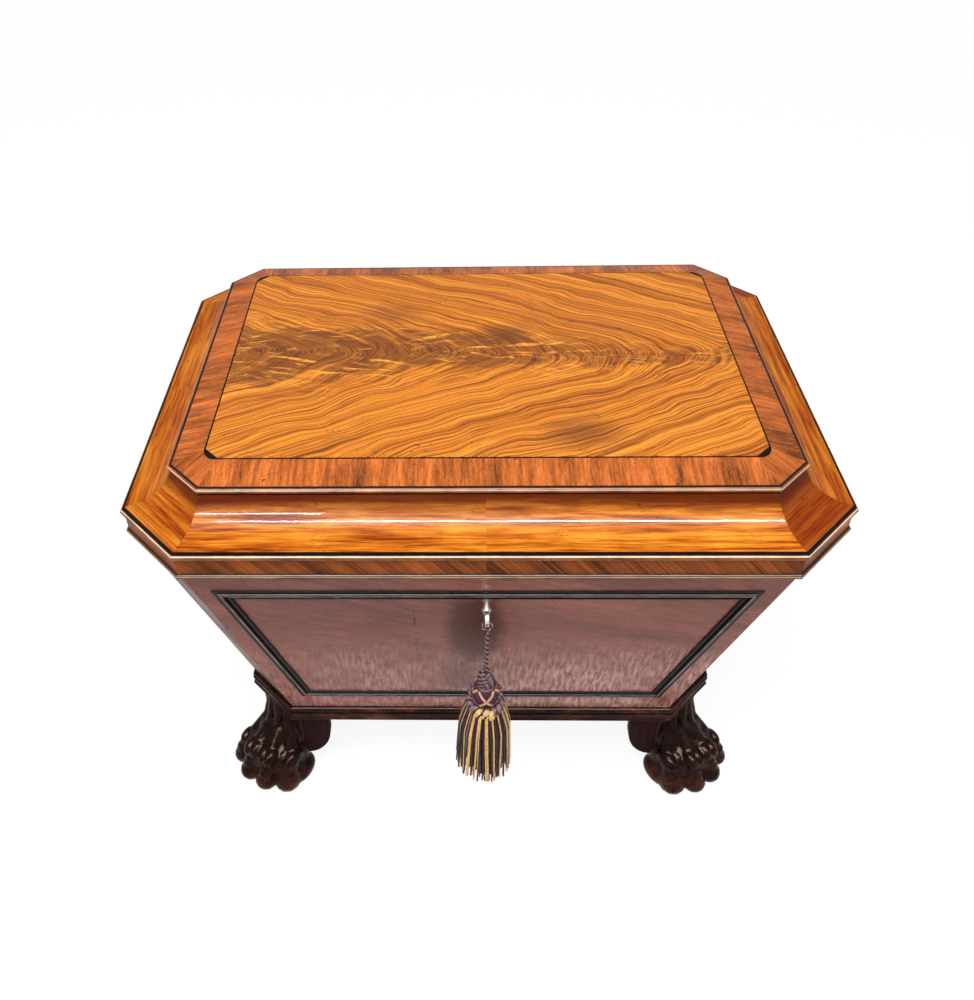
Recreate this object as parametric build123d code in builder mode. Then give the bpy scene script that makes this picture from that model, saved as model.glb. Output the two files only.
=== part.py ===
from build123d import *
from math import atan, cos, degrees, radians, sin, sqrt
import os

# Lid, measured inwards and up from its widest edge, which is a canted rectangle
LID_LENGTH = 720.0
LID_DEPTH = 526.0
LID_CANT = 63.8
LID_DROP = 28.0
EDGE_STRING_HEIGHT = 1.7
EDGE_STRING_DEPTH = 2.0
EDGE_BEAD_RADIUS = 3.4
LID_FRAME_DEPTH = 20.0
FRIEZE_VENEER = 1.5
CAVETTO_FLAT = 5.0
CAVETTO_INSET = 49.3
CAVETTO_RISE = 29.5
CAVETTO_BACK = 60.0
TOP_EDGE_INSET = 50.4
TOP_EDGE_RISE = 37.9
TOP_BEAD_RADIUS = 3.2
TOP_BEAD_BACK = 1.6
FIELD_INSET = 84.9
FIELD_RISE = 46.7
VENEER = 2.0
STRING_WIDTH = 2.0
STRING_SINK = 0.7

# Carcase, measured from its rim, where the lid shuts on it
LID_OVERHANG = 1.0
CARCASE_HEIGHT = 339.0
SIDE_TAPER = 79.6
CANT_TAPER = 11.2
WALL = 22.0
BOTTOM_BOARD = 16.0
RIM_BEAD_RADIUS = 3.0
RIM_BEAD_BACK = 0.8
BASE_MOULDING_HEIGHT = 20.0
BASE_MOULDING_DEPTH = 6.0
BASE_BEAD_DROP = 7.0
BASE_GROOVE_DEPTH = 3.4
BASE_FILLET = 1.4
BASE_BEAD_SHOULDER = 1.0
BASE_FACE_SETBACK = 1.2
BASE_FILLET_SETBACK = 0.4

# Panel mouldings planted on the front and the ends
PANEL_TOP_DROP = 33.8
PANEL_BOTTOM_DROP = 293.8
PANEL_TOP_MARGIN = 18.1
PANEL_BOTTOM_MARGIN = 23.6
MOULDING_WIDTH = 14.6
OUTER_BAND = 4.5
OUTER_BAND_HEIGHT = 1.4
INNER_BEAD = 4.0
INNER_BEAD_HEIGHT = 3.6
GROOVE_WIDTH = 3.3
GROOVE_HEIGHT = 0.8
LAST_BEAD_HEIGHT = 2.4

# Lining and bottle divisions
LINER = 1.5
LINER_TOP_DROP = 77.0
LINER_FIT = 0.1
DIVISION_BOARD = 9.0
CELLS_LONG = 5
CELLS_DEEP = 3
DIVISION_END_GAP = 1.9
DIVISION_SIDE_GAP = 3.9
DIVISION_HEIGHT = 200.0
LAP_FIT = 0.15

# Lion's paw feet
FOOT_HEIGHT = 113.0
FOOT_TURN = 34.0
ANKLE_SETBACK = 9.0
ANKLE_TOP_RADIUS = 22.0
ANKLE_BOTTOM_RADIUS = 27.0
PAW_RADIUS = 32.0
PAW_FORWARD = 26.0
PAW_HEIGHT = 29.0
TOE_RADIUS = 13.0
TOE_REACH = 68.0
TOE_SPREAD = 24.0
KNUCKLE_REACH = 46.0
KNUCKLE_HEIGHT = 37.0
KNUCKLE_SPREAD = 21.0
INSTEP_REACH = 14.0
INSTEP_HEIGHT = 66.0
INSTEP_SPREAD = 10.0
OUTER_TOE_SETBACK = 9.0
BLOCK_WIDTH = 55.0
BLOCK_HEIGHT = 80.0
BRACKET_REACH = 34.0
BRACKET_THICKNESS = 12.0
BRACKET_DROP = 88.0
BRACKET_CURVE = 50.0
BRACKET_SETBACK = 0.5
DOWEL_RADIUS = 9.0
DOWEL_LENGTH = 40.0
DOWEL_DEPTH = 13.0
DOWEL_FIT = 0.05

# Butt hinges at the back
HINGE_INSET = 75.8
HINGE_LENGTH = 70.0
HINGE_LEAF = 2.0
HINGE_LEAF_WIDTH = 19.0
HINGE_OUTSET = 8.5
KNUCKLE_RADIUS = 4.0
HINGE_KNUCKLES = 5
KNUCKLE_GAP = 0.3
PIN_RADIUS = 2.0
PIN_FIT = 0.05
PARTING_GAP = 0.3

# Screws
SCREW_RADIUS = 1.6
SCREW_LENGTH = 14.0
SCREW_HEAD_RADIUS = 3.1
SCREW_HEAD = 1.2
SCREW_FIT = 0.05
HINGE_SCREW_PITCH = 24.0
HINGE_SCREW_INSET = 10.0
LOCK_SCREW_SPREAD = 45.0

# Box lock let into the front, measured on the sloping face from the keyhole
LOCK_X = 1.5
KEYHOLE_DROP = 52.0
LOCK_LENGTH = 84.0
LOCK_BELOW = 23.5
LOCK_ABOVE = 45.8
LOCK_SKIN = 5.7
LOCK_PLATE = 1.3
LOCK_FIT = 0.2
SELVEDGE_LENGTH = 100.0
SELVEDGE_WIDTH = 17.0
SELVEDGE_INSET = 3.5
SELVEDGE = 2.2
LINK_SPREAD = 18.0
LINK_THICKNESS = 3.0
LINK_WIDTH = 6.4
LINK_LENGTH = 18.0
LINK_EYE_WIDTH = 3.6
LINK_EYE_HEIGHT = 5.4
LINK_CLEARANCE = 1.2
PRONG_HEIGHT = 37.2
PRONG_DEPTH = 12.5
PRONG = 2.4
PRONG_LENGTH = 10.0
PRONG_GAP = 1.5
PRONG_POST = 3.0
BOLT_BOTTOM = 13.0
BOLT_TOP = 25.0
BOLT_LENGTH = 55.0
BOLT_THICKNESS = 8.0
BOLT_FIT = 0.3
CURTAIN_RADIUS = 12.9
CURTAIN_FIT = 0.1
CURTAIN_THICKNESS = 2.8
DRILL_PIN_RADIUS = 1.7
DRILL_PIN_FIT = 0.08
DRILL_PIN_TIP = 3.5

# Key
KEY_RADIUS = 3.2
KEY_DEPTH = 15.5
KEY_REACH = 12.6
KEY_BORE_DEPTH = 13.5
KEY_FIT = 0.08
COLLAR_RADIUS = 4.5
COLLAR_LENGTH = 3.0
COLLAR_START = 9.3
BIT_REACH = 11.0
BIT_WIDTH = 5.9
BIT_THICKNESS = 2.4
BIT_FIT = 0.1
WARD_DEPTH = 3.0
WARD_WIDTH = 1.2
BOW_RADIUS = 8.2
BOW_HOLE = 4.4
BOW_THICKNESS = 4.4
BOW_ROUNDING = 1.2
KEYHOLE_RADIUS = 3.6
KEYHOLE_SLOT = 3.8
KEYHOLE_LENGTH = 12.5
ESCUTCHEON_BORDER = 1.0
ESCUTCHEON_DEPTH = 1.5
ESCUTCHEON_PROUD = 0.4

# Cord loop, hanging cord and tassel
LOOP_RADIUS = 4.8
LOOP_CORD_RADIUS = 1.2
LOOP_SEAT = 0.3
CORD_RADIUS = 2.2
CORD_ABOVE = 2.0
CORD_LENGTH = 61.0
KNOB_RADIUS = 9.5
KNOB_HEIGHT = 20.0
KNOB_TOP_RADIUS = 4.0
MOULD_RADIUS = 14.0
MOULD_HEIGHT = 27.0
MOULD_SINK = 3.1
MOULD_END_RADIUS = 8.5
RUFF_RADIUS = 21.5
RUFF_CORD_RADIUS = 7.0
SKIRT_LENGTH = 101.0
SKIRT_TOP_RADIUS = 20.0
SKIRT_SHOULDER_RADIUS = 26.0
SKIRT_SHOULDER_DROP = 12.0
SKIRT_BOTTOM_RADIUS = 30.5

# Joints between lengths of moulding
MITRE_GAP = 0.1

# Worked out from the sizes above
THROUGH = LID_LENGTH
CANT_SHARE = 2 - sqrt(2)
CARCASE_LENGTH = LID_LENGTH - 2 * LID_OVERHANG
CARCASE_DEPTH = LID_DEPTH - 2 * LID_OVERHANG
CARCASE_CANT = LID_CANT - CANT_SHARE * LID_OVERHANG
BASE = FOOT_HEIGHT
RIM = BASE + CARCASE_HEIGHT
LID_EDGE_HEIGHT = RIM + LID_DROP
LID_UNDERSIDE = RIM + PARTING_GAP
SLOPE = SIDE_TAPER / CARCASE_HEIGHT
SLOPE_ANGLE = atan(SLOPE)
FRONT_NORMAL = (0, -cos(SLOPE_ANGLE), -sin(SLOPE_ANGLE))
BORDER_SLOPE = (FIELD_RISE - TOP_EDGE_RISE) / (FIELD_INSET - TOP_EDGE_INSET)
WALL_ACROSS = WALL * cos(SLOPE_ANGLE)
KEYHOLE_Y = CARCASE_DEPTH / 2 - SLOPE * KEYHOLE_DROP
BOW_CENTRE = KEY_REACH + BOW_RADIUS
LOOP_CENTRE = BOW_CENTRE + BOW_HOLE - LOOP_SEAT + LOOP_RADIUS - LOOP_CORD_RADIUS
CORD_CENTRE = LOOP_CENTRE + LOOP_RADIUS + LOOP_CORD_RADIUS + LOOP_SEAT + CORD_RADIUS
HINGE_SPREAD = CARCASE_LENGTH / 2 - CARCASE_CANT - HINGE_INSET
HINGE_Y = CARCASE_DEPTH / 2 + HINGE_OUTSET
HINGE_Z = RIM + PARTING_GAP / 2
FRONT_REACH = KEYHOLE_Y + (LOOP_CENTRE + LOOP_RADIUS) * cos(SLOPE_ANGLE) + LOOP_CORD_RADIUS
BACK_REACH = HINGE_Y + KNUCKLE_RADIUS
# The origin is on the floor under the middle of the whole object, key and hinges included
CENTRE_Y = (FRONT_REACH - BACK_REACH) / 2

# Side numbers of a canted rectangle, counted anticlockwise from above
FRONT, RIGHT, BACK, LEFT = 0, 2, 4, 6
CANTS = (1, 3, 5, 7)
ALL_SIDES = range(8)


def level(height):
    """Horizontal plane at a height, centred on the lid."""
    return Plane((0, CENTRE_Y, height))


LOCK = Plane(
    (LOCK_X, CENTRE_Y - KEYHOLE_Y, RIM - KEYHOLE_DROP), x_dir=(1, 0, 0), z_dir=FRONT_NORMAL
)
FRONT_FACE = Plane((0, CENTRE_Y - CARCASE_DEPTH / 2, RIM), x_dir=(1, 0, 0), z_dir=FRONT_NORMAL)


def end_face(side):
    """Plane of a sloping end, side -1 on the left and 1 on the right."""
    return Plane(
        (side * CARCASE_LENGTH / 2, CENTRE_Y, RIM),
        x_dir=(0, side, 0),
        z_dir=(side * cos(SLOPE_ANGLE), 0, -sin(SLOPE_ANGLE)),
    )


def canted(half_x, half_y, leg):
    """Corners of a canted rectangle, from the left end of its front side."""
    return [
        (-half_x + leg, -half_y),
        (half_x - leg, -half_y),
        (half_x, -half_y + leg),
        (half_x, half_y - leg),
        (half_x - leg, half_y),
        (-half_x + leg, half_y),
        (-half_x, half_y - leg),
        (-half_x, -half_y + leg),
    ]


def lid_corners(inset):
    """Lid outline at an equal inset from its widest edge."""
    return canted(LID_LENGTH / 2 - inset, LID_DEPTH / 2 - inset, LID_CANT - CANT_SHARE * inset)


def carcase_corners(height, inset=0.0):
    """Outline of the tapering carcase at a height, less an equal inset."""
    drop = (RIM - height) / CARCASE_HEIGHT
    return canted(
        CARCASE_LENGTH / 2 - SIDE_TAPER * drop - inset,
        CARCASE_DEPTH / 2 - SIDE_TAPER * drop - inset,
        CARCASE_CANT - CANT_TAPER * drop - CANT_SHARE * inset,
    )


def one_side(outer, inner, side):
    """Outline between two closed outlines along one side, cut short at each mitre."""
    end = (side + 1) % len(outer)
    run = (Vector(*outer[end]) - Vector(*outer[side])).normalized() * (MITRE_GAP / 2)
    return [
        Vector(*outer[side]) + run,
        Vector(*outer[end]) - run,
        Vector(*inner[end]) - run,
        Vector(*inner[side]) + run,
    ]


def outline(points):
    """Face of a closed outline, in the sketch that is open."""
    with BuildLine() as path:
        Polyline(*points, close=True)
    make_face(path.edges())


def mitred_length(base, outer, inner, side, profile):
    """One length of moulding: profile(x, y) runs inwards from outer and up from base."""
    start, end = Vector(*outer[side]), Vector(*outer[(side + 1) % len(outer)])
    run = (end - start).normalized()
    section = Plane(
        base.from_local_coords((start + end) / 2),
        x_dir=base.from_local_coords(Vector(-run.Y, run.X)) - base.origin,
        z_dir=base.from_local_coords(run) - base.origin,
    )
    with BuildPart() as length:
        with BuildSketch(section):
            profile()
        extrude(amount=THROUGH, both=True)
        with BuildSketch(base):
            outline(one_side(outer, inner, side))
        extrude(amount=THROUGH, both=True, mode=Mode.INTERSECT)
    return length.part


def mitred_lengths(base, outer, inner, sides, profile):
    """Several lengths of one moulding round the same outline."""
    return [mitred_length(base, outer, inner, side, profile) for side in sides]


def half_round(radius, back):
    """Section of a bead with a flat back, its nose at 0 and its middle at height 0."""
    with BuildLine() as path:
        ThreePointArc((radius, radius), (0, 0), (radius, -radius))
        Polyline((radius, -radius), (radius + back, -radius), (radius + back, radius), (radius, radius))
    make_face(path.edges())


def strip(depth, bottom, top):
    """Section of a plain strip."""
    outline([(0, bottom), (depth, bottom), (depth, top), (0, top)])


def crossband_profile():
    """Section of the sloping border veneer."""
    outer_rise = TOP_EDGE_RISE + BORDER_SLOPE * TOP_BEAD_BACK
    inner_rise = FIELD_RISE - BORDER_SLOPE * STRING_WIDTH
    width = FIELD_INSET - STRING_WIDTH - TOP_EDGE_INSET - TOP_BEAD_BACK
    outline([(0, outer_rise - VENEER), (width, inner_rise - VENEER), (width, inner_rise), (0, outer_rise)])


def cavetto_profile():
    """Section of the hollow moulding that carries the raised top."""
    flat_end = (CAVETTO_FLAT - EDGE_STRING_DEPTH, 0)
    hollow_end = (CAVETTO_INSET - EDGE_STRING_DEPTH, CAVETTO_RISE)
    back = CAVETTO_BACK - EDGE_STRING_DEPTH
    underside = -EDGE_STRING_HEIGHT - 2 * EDGE_BEAD_RADIUS
    with BuildLine() as path:
        Line((0, 0), flat_end)
        TangentArc(flat_end, hollow_end, tangent=(1, 0))
        Polyline(hollow_end, (back, CAVETTO_RISE), (back, underside), (0, underside), (0, 0))
    make_face(path.edges())


def base_moulding_profile():
    """Section of the base moulding: a bead over a groove, with a fillet at the foot."""
    depth = BASE_MOULDING_DEPTH
    groove = depth - BASE_GROOVE_DEPTH
    bead_bottom = -BASE_BEAD_DROP
    face_top = bead_bottom - BASE_FILLET
    with BuildLine() as path:
        ThreePointArc(
            (groove + BASE_BEAD_SHOULDER, 0), (BASE_BEAD_SHOULDER, bead_bottom / 2), (groove, bead_bottom)
        )
        Polyline(
            (groove, bead_bottom),
            (groove, face_top),
            (BASE_FILLET_SETBACK, face_top),
            (BASE_FILLET_SETBACK, face_top - BASE_FILLET),
            (BASE_FACE_SETBACK, face_top - 2 * BASE_FILLET),
            (BASE_FACE_SETBACK, -BASE_MOULDING_HEIGHT + 2 * BASE_FILLET),
            (0, -BASE_MOULDING_HEIGHT + BASE_FILLET),
            (0, -BASE_MOULDING_HEIGHT),
            (depth, -BASE_MOULDING_HEIGHT),
            (depth, 0),
            (groove + BASE_BEAD_SHOULDER, 0),
        )
    make_face(path.edges())


def panel_moulding_profile():
    """Section of the panel moulding: flat band, bead, groove and small bead."""
    bead_start = OUTER_BAND
    bead_end = OUTER_BAND + INNER_BEAD
    last_start = bead_end + GROOVE_WIDTH
    with BuildLine() as path:
        Polyline((0, 0), (0, OUTER_BAND_HEIGHT), (bead_start, OUTER_BAND_HEIGHT))
        ThreePointArc(
            (bead_start, OUTER_BAND_HEIGHT),
            ((bead_start + bead_end) / 2, INNER_BEAD_HEIGHT),
            (bead_end, GROOVE_HEIGHT),
        )
        Line((bead_end, GROOVE_HEIGHT), (last_start, GROOVE_HEIGHT))
        ThreePointArc(
            (last_start, GROOVE_HEIGHT),
            ((last_start + MOULDING_WIDTH) / 2, LAST_BEAD_HEIGHT),
            (MOULDING_WIDTH, 0),
        )
        Line((MOULDING_WIDTH, 0), (0, 0))
    make_face(path.edges())


def panel_width(rim_width, drop, margin):
    """Width of a panel at a drop down a sloping face, a margin inside each arris."""
    share = drop * cos(SLOPE_ANGLE) / CARCASE_HEIGHT
    return rim_width - 2 * (CARCASE_CANT + (SIDE_TAPER - CANT_TAPER) * share + margin)


def panel_outline(rim_width, inset=0.0):
    """Corners of a panel on a sloping face, less an equal inset."""
    top_width = panel_width(rim_width, PANEL_TOP_DROP, PANEL_TOP_MARGIN)
    bottom_width = panel_width(rim_width, PANEL_BOTTOM_DROP, PANEL_BOTTOM_MARGIN)
    lean = (top_width - bottom_width) / 2 / (PANEL_BOTTOM_DROP - PANEL_TOP_DROP)
    steep = sqrt(1 + lean * lean)
    top_half = top_width / 2 - inset * (steep + lean)
    bottom_half = bottom_width / 2 - inset * (steep - lean)
    top, bottom = -PANEL_TOP_DROP - inset, -PANEL_BOTTOM_DROP + inset
    return [(-bottom_half, bottom), (bottom_half, bottom), (top_half, top), (-top_half, top)]


def carcase_board(side):
    """One tapering board of the carcase wall."""
    with BuildPart() as board:
        for height in (BASE, RIM):
            with BuildSketch(level(height)):
                outline(one_side(carcase_corners(height), carcase_corners(height, WALL), side))
        loft(ruled=True)
    return board.part


def keyhole(radius, slot, length):
    """Keyhole outline: a round hole with a slot under it."""
    Circle(radius)
    with Locations((0, -length / 2)):
        Rectangle(slot, length)


def hinge_places(y, height):
    """Places of the two hinges at a height."""
    return [Plane((side * HINGE_SPREAD, CENTRE_Y + y, height)) for side in (-1, 1)]


def hinge_screw_points():
    """Screw places on both leaves, seen from above."""
    y = HINGE_Y - HINGE_OUTSET - HINGE_SCREW_INSET
    return [
        (side * HINGE_SPREAD + step * HINGE_SCREW_PITCH, y) for side in (-1, 1) for step in (-1, 0, 1)
    ]


def lock_screw_points():
    """Screw places on the selvedge and the link plate, seen from above."""
    y = -CARCASE_DEPTH / 2 + SELVEDGE_INSET + SELVEDGE_WIDTH / 2
    return [(LOCK_X + side * LOCK_SCREW_SPREAD, y) for side in (-1, 1)]


def screws(points, head_face, direction):
    """Flat-headed screws, driven along direction (-1 down, 1 up) from the plane of their heads."""
    with BuildPart() as group:
        with BuildSketch(level(head_face)):
            with Locations(*points):
                Circle(SCREW_HEAD_RADIUS)
        extrude(amount=SCREW_HEAD * direction)
        with BuildSketch(level(head_face)):
            with Locations(*points):
                Circle(SCREW_RADIUS)
        extrude(amount=SCREW_LENGTH * direction)
    return group


def screw_holes(points, head_face, direction):
    """Cuts the seats of the same screws out of the part that is open."""
    with BuildSketch(level(head_face)) as heads:
        with Locations(*points):
            Circle(SCREW_HEAD_RADIUS + SCREW_FIT)
    extrude(heads.sketch, amount=SCREW_HEAD * direction, mode=Mode.SUBTRACT)
    with BuildSketch(level(head_face)) as shanks:
        with Locations(*points):
            Circle(SCREW_RADIUS + SCREW_FIT)
    extrude(shanks.sketch, amount=SCREW_LENGTH * direction, mode=Mode.SUBTRACT)


def leaf_recess(bottom, depth):
    """Cuts the seats of both hinge leaves out of the part that is open."""
    leaf_middle = HINGE_Y - HINGE_OUTSET - HINGE_LEAF_WIDTH / 2
    with BuildSketch(*hinge_places(leaf_middle + HINGE_OUTSET / 2, bottom)) as seats:
        Rectangle(HINGE_LENGTH + 2 * SCREW_FIT, HINGE_LEAF_WIDTH + HINGE_OUTSET)
    extrude(seats.sketch, amount=depth, mode=Mode.SUBTRACT)


def hinge_leaf(bottom, knuckles):
    """Leaves of both hinges with their own knuckles; knuckles lists the places along the pin."""
    pitch = HINGE_LENGTH / HINGE_KNUCKLES
    plate_end = HINGE_Y - KNUCKLE_RADIUS - KNUCKLE_GAP
    plate_start = HINGE_Y - HINGE_OUTSET - HINGE_LEAF_WIDTH
    with BuildPart() as leaves:
        with BuildSketch(*hinge_places((plate_start + plate_end) / 2, bottom)):
            Rectangle(HINGE_LENGTH, plate_end - plate_start)
        extrude(amount=HINGE_LEAF)
        for side in (-1, 1):
            for place in knuckles:
                x = side * HINGE_SPREAD + (place - (HINGE_KNUCKLES - 1) / 2) * pitch
                width = pitch - KNUCKLE_GAP
                with BuildSketch(Plane((x, CENTRE_Y + (plate_end + HINGE_Y) / 2 - 1, bottom))):
                    Rectangle(width, HINGE_Y - plate_end + 2)
                extrude(amount=HINGE_LEAF)
                with BuildSketch(Plane((x, CENTRE_Y + HINGE_Y, HINGE_Z), x_dir=(0, 1, 0), z_dir=(1, 0, 0))):
                    Circle(KNUCKLE_RADIUS)
                extrude(amount=width / 2, both=True)
            with BuildSketch(
                Plane((side * HINGE_SPREAD, CENTRE_Y + HINGE_Y, HINGE_Z), x_dir=(0, 1, 0), z_dir=(1, 0, 0))
            ):
                Circle(PIN_RADIUS + PIN_FIT)
            extrude(amount=HINGE_LENGTH, both=True, mode=Mode.SUBTRACT)
        screw_holes(hinge_screw_points(), RIM if bottom < RIM else LID_UNDERSIDE, -1 if bottom < RIM else 1)
    return leaves


# Carcase boards
with BuildPart() as front_board:
    add(carcase_board(FRONT))
    with BuildSketch(LOCK.offset(-LOCK_SKIN + LOCK_FIT)):
        with Locations((0, (THROUGH / 2 - LOCK_BELOW - LOCK_FIT) / 2)):
            Rectangle(LOCK_LENGTH + 2 * LOCK_FIT, THROUGH / 2 + LOCK_BELOW + LOCK_FIT)
    extrude(amount=-WALL, mode=Mode.SUBTRACT)
    with BuildSketch(level(RIM - SELVEDGE)):
        with Locations((LOCK_X, -CARCASE_DEPTH / 2 + SELVEDGE_INSET + WALL / 2)):
            Rectangle(SELVEDGE_LENGTH + 2 * LOCK_FIT, WALL + 2 * LOCK_FIT)
    extrude(amount=SELVEDGE, mode=Mode.SUBTRACT)
    with BuildSketch(LOCK):
        keyhole(KEYHOLE_RADIUS, KEYHOLE_SLOT, KEYHOLE_LENGTH)
    extrude(amount=-WALL, mode=Mode.SUBTRACT)
    with BuildSketch(LOCK):
        keyhole(
            KEYHOLE_RADIUS + ESCUTCHEON_BORDER,
            KEYHOLE_SLOT + 2 * ESCUTCHEON_BORDER,
            KEYHOLE_LENGTH + ESCUTCHEON_BORDER,
        )
    extrude(amount=-ESCUTCHEON_DEPTH, mode=Mode.SUBTRACT)
    screw_holes(lock_screw_points(), RIM, -1)

with BuildPart() as back_board:
    add(carcase_board(BACK))
    leaf_recess(RIM - HINGE_LEAF, HINGE_LEAF)
    screw_holes(hinge_screw_points(), RIM, -1)

with BuildPart() as left_board:
    add(carcase_board(LEFT))

with BuildPart() as right_board:
    add(carcase_board(RIGHT))

cant_middle = sum((Vector(*carcase_corners(BASE)[i]) for i in (0, 7)), Vector()) / 2
ankle = cant_middle + Vector(1, 1) * (ANKLE_SETBACK / sqrt(2))
dowel_points = [(side_x * ankle.X, side_y * ankle.Y) for side_x in (-1, 1) for side_y in (-1, 1)]


def dowel_sockets():
    """Cuts the upper halves of the foot dowels out of the part that is open."""
    with BuildSketch(level(BASE)) as sockets:
        with Locations(*dowel_points):
            Circle(DOWEL_RADIUS + DOWEL_FIT)
    extrude(sockets.sketch, amount=DOWEL_DEPTH, mode=Mode.SUBTRACT)


corner_boards = [carcase_board(side) for side in CANTS]
with BuildPart() as canted_corners:
    add(corner_boards)
    dowel_sockets()

rim_outer = carcase_corners(RIM, -RIM_BEAD_RADIUS - RIM_BEAD_BACK)
rim_lengths = mitred_lengths(
    level(RIM - RIM_BEAD_RADIUS),
    rim_outer,
    carcase_corners(RIM),
    ALL_SIDES,
    lambda: half_round(RIM_BEAD_RADIUS, RIM_BEAD_BACK),
)
with BuildPart() as rim_bead:
    add(rim_lengths)
    leaf_recess(RIM - HINGE_LEAF, HINGE_LEAF)

base_top = BASE + BASE_MOULDING_HEIGHT
base_lengths = mitred_lengths(
    level(base_top),
    carcase_corners(base_top, -BASE_MOULDING_DEPTH),
    carcase_corners(base_top),
    ALL_SIDES,
    base_moulding_profile,
)
with BuildPart() as base_moulding:
    add(base_lengths)

front_panel_lengths = mitred_lengths(
    FRONT_FACE,
    panel_outline(CARCASE_LENGTH),
    panel_outline(CARCASE_LENGTH, MOULDING_WIDTH),
    range(4),
    panel_moulding_profile,
)
with BuildPart() as front_panel_moulding:
    add(front_panel_lengths)

end_panel_lengths = [
    length
    for side in (-1, 1)
    for length in mitred_lengths(
        end_face(side),
        panel_outline(CARCASE_DEPTH),
        panel_outline(CARCASE_DEPTH, MOULDING_WIDTH),
        range(4),
        panel_moulding_profile,
    )
]
with BuildPart() as end_panel_mouldings:
    add(end_panel_lengths)

# Feet: the front left one is made, and the others are its mirror images
forward = Vector(-sin(radians(FOOT_TURN)), -cos(radians(FOOT_TURN)))
sideways = Vector(cos(radians(FOOT_TURN)), -sin(radians(FOOT_TURN)))


def in_paw(reach, spread, height):
    """Point in the front left foot, from its ankle's centre line on the floor."""
    spot = ankle + forward * reach + sideways * spread
    return Vector(spot.X, spot.Y + CENTRE_Y, height)


def limb(start, end, radius):
    """Round-ended rod between two points, added to the part that is open."""
    with BuildSketch(Plane(start, z_dir=end - start)) as section:
        Circle(radius)
    extrude(section.sketch, amount=(end - start).length)
    with Locations(start, end):
        Sphere(radius)


def block_corner(x_out, y_out):
    """Point measured inwards from the carcase's square corner at its underside."""
    corners = carcase_corners(BASE)
    return (corners[7][0] + x_out, corners[0][1] + y_out)


with BuildPart() as paw_front_left:
    with BuildSketch(Plane(in_paw(0, 0, PAW_HEIGHT))):
        Circle(ANKLE_BOTTOM_RADIUS)
    with BuildSketch(Plane(in_paw(0, 0, FOOT_HEIGHT))):
        Circle(ANKLE_TOP_RADIUS)
    loft()
    with Locations(in_paw(PAW_FORWARD, 0, PAW_HEIGHT)):
        Sphere(PAW_RADIUS)
    for place in (-1.5, -0.5, 0.5, 1.5):
        setback = OUTER_TOE_SETBACK * (abs(place) - 0.5)
        tip = in_paw(TOE_REACH - setback, place * TOE_SPREAD, TOE_RADIUS)
        knuckle = in_paw(KNUCKLE_REACH - setback, place * KNUCKLE_SPREAD, KNUCKLE_HEIGHT - setback / 2)
        instep = in_paw(INSTEP_REACH, place * INSTEP_SPREAD, INSTEP_HEIGHT)
        limb(tip, knuckle, TOE_RADIUS)
        limb(knuckle, instep, TOE_RADIUS)
    with BuildSketch(level(FOOT_HEIGHT)):
        outline([
            block_corner(BLOCK_WIDTH, BRACKET_SETBACK),
            block_corner(BLOCK_WIDTH, BLOCK_WIDTH),
            block_corner(BRACKET_SETBACK, BLOCK_WIDTH),
            block_corner(BRACKET_SETBACK, BLOCK_WIDTH - BRACKET_THICKNESS),
            block_corner(BLOCK_WIDTH - BRACKET_THICKNESS, BRACKET_SETBACK),
        ])
    extrude(amount=-BLOCK_HEIGHT)
    with BuildSketch(Plane(in_paw(0, 0, FOOT_HEIGHT))):
        Circle(DOWEL_RADIUS + DOWEL_FIT)
    extrude(amount=DOWEL_DEPTH - DOWEL_LENGTH, mode=Mode.SUBTRACT)
    split(bisect_by=Plane.XY, keep=Keep.TOP)

mirror_y = Plane((0, CENTRE_Y, 0), x_dir=(1, 0, 0), z_dir=(0, 1, 0))
with BuildPart() as paw_front_right:
    mirror(paw_front_left.part, about=Plane.YZ)
with BuildPart() as paw_back_left:
    mirror(paw_front_left.part, about=mirror_y)
with BuildPart() as paw_back_right:
    mirror(paw_front_right.part, about=mirror_y)


def bracket_profile():
    """Rounded bracket seen square on, from its square top corner against the foot."""
    curve_top = BRACKET_CURVE - BRACKET_DROP
    with BuildLine() as path:
        Polyline((0, -BRACKET_DROP), (0, 0), (BRACKET_REACH, 0), (BRACKET_REACH, curve_top))
        EllipticalCenterArc((0, curve_top), BRACKET_REACH, BRACKET_CURVE, start_angle=270, arc_size=90)
    make_face(path.edges())


front_bracket = block_corner(BLOCK_WIDTH + MITRE_GAP, BRACKET_SETBACK)
end_bracket = block_corner(BRACKET_SETBACK, BLOCK_WIDTH + MITRE_GAP)
with BuildPart() as foot_brackets:
    with BuildSketch(
        Plane((front_bracket[0], front_bracket[1] + CENTRE_Y, FOOT_HEIGHT), x_dir=(1, 0, 0), z_dir=(0, -1, 0))
    ):
        bracket_profile()
    extrude(amount=-BRACKET_THICKNESS)
    with BuildSketch(
        Plane((end_bracket[0], end_bracket[1] + CENTRE_Y, FOOT_HEIGHT), x_dir=(0, 1, 0), z_dir=(1, 0, 0))
    ):
        bracket_profile()
    extrude(amount=BRACKET_THICKNESS)
    mirror(about=Plane.YZ)
    mirror(about=mirror_y)

with BuildPart() as foot_dowels:
    with BuildSketch(level(BASE + DOWEL_DEPTH)):
        with Locations(*dowel_points):
            Circle(DOWEL_RADIUS)
    extrude(amount=-DOWEL_LENGTH)

with BuildPart() as bottom_board:
    for height in (BASE, BASE + BOTTOM_BOARD):
        with BuildSketch(level(height)):
            outline(carcase_corners(height, WALL + LINER_FIT))
    loft(ruled=True)
    dowel_sockets()

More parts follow.
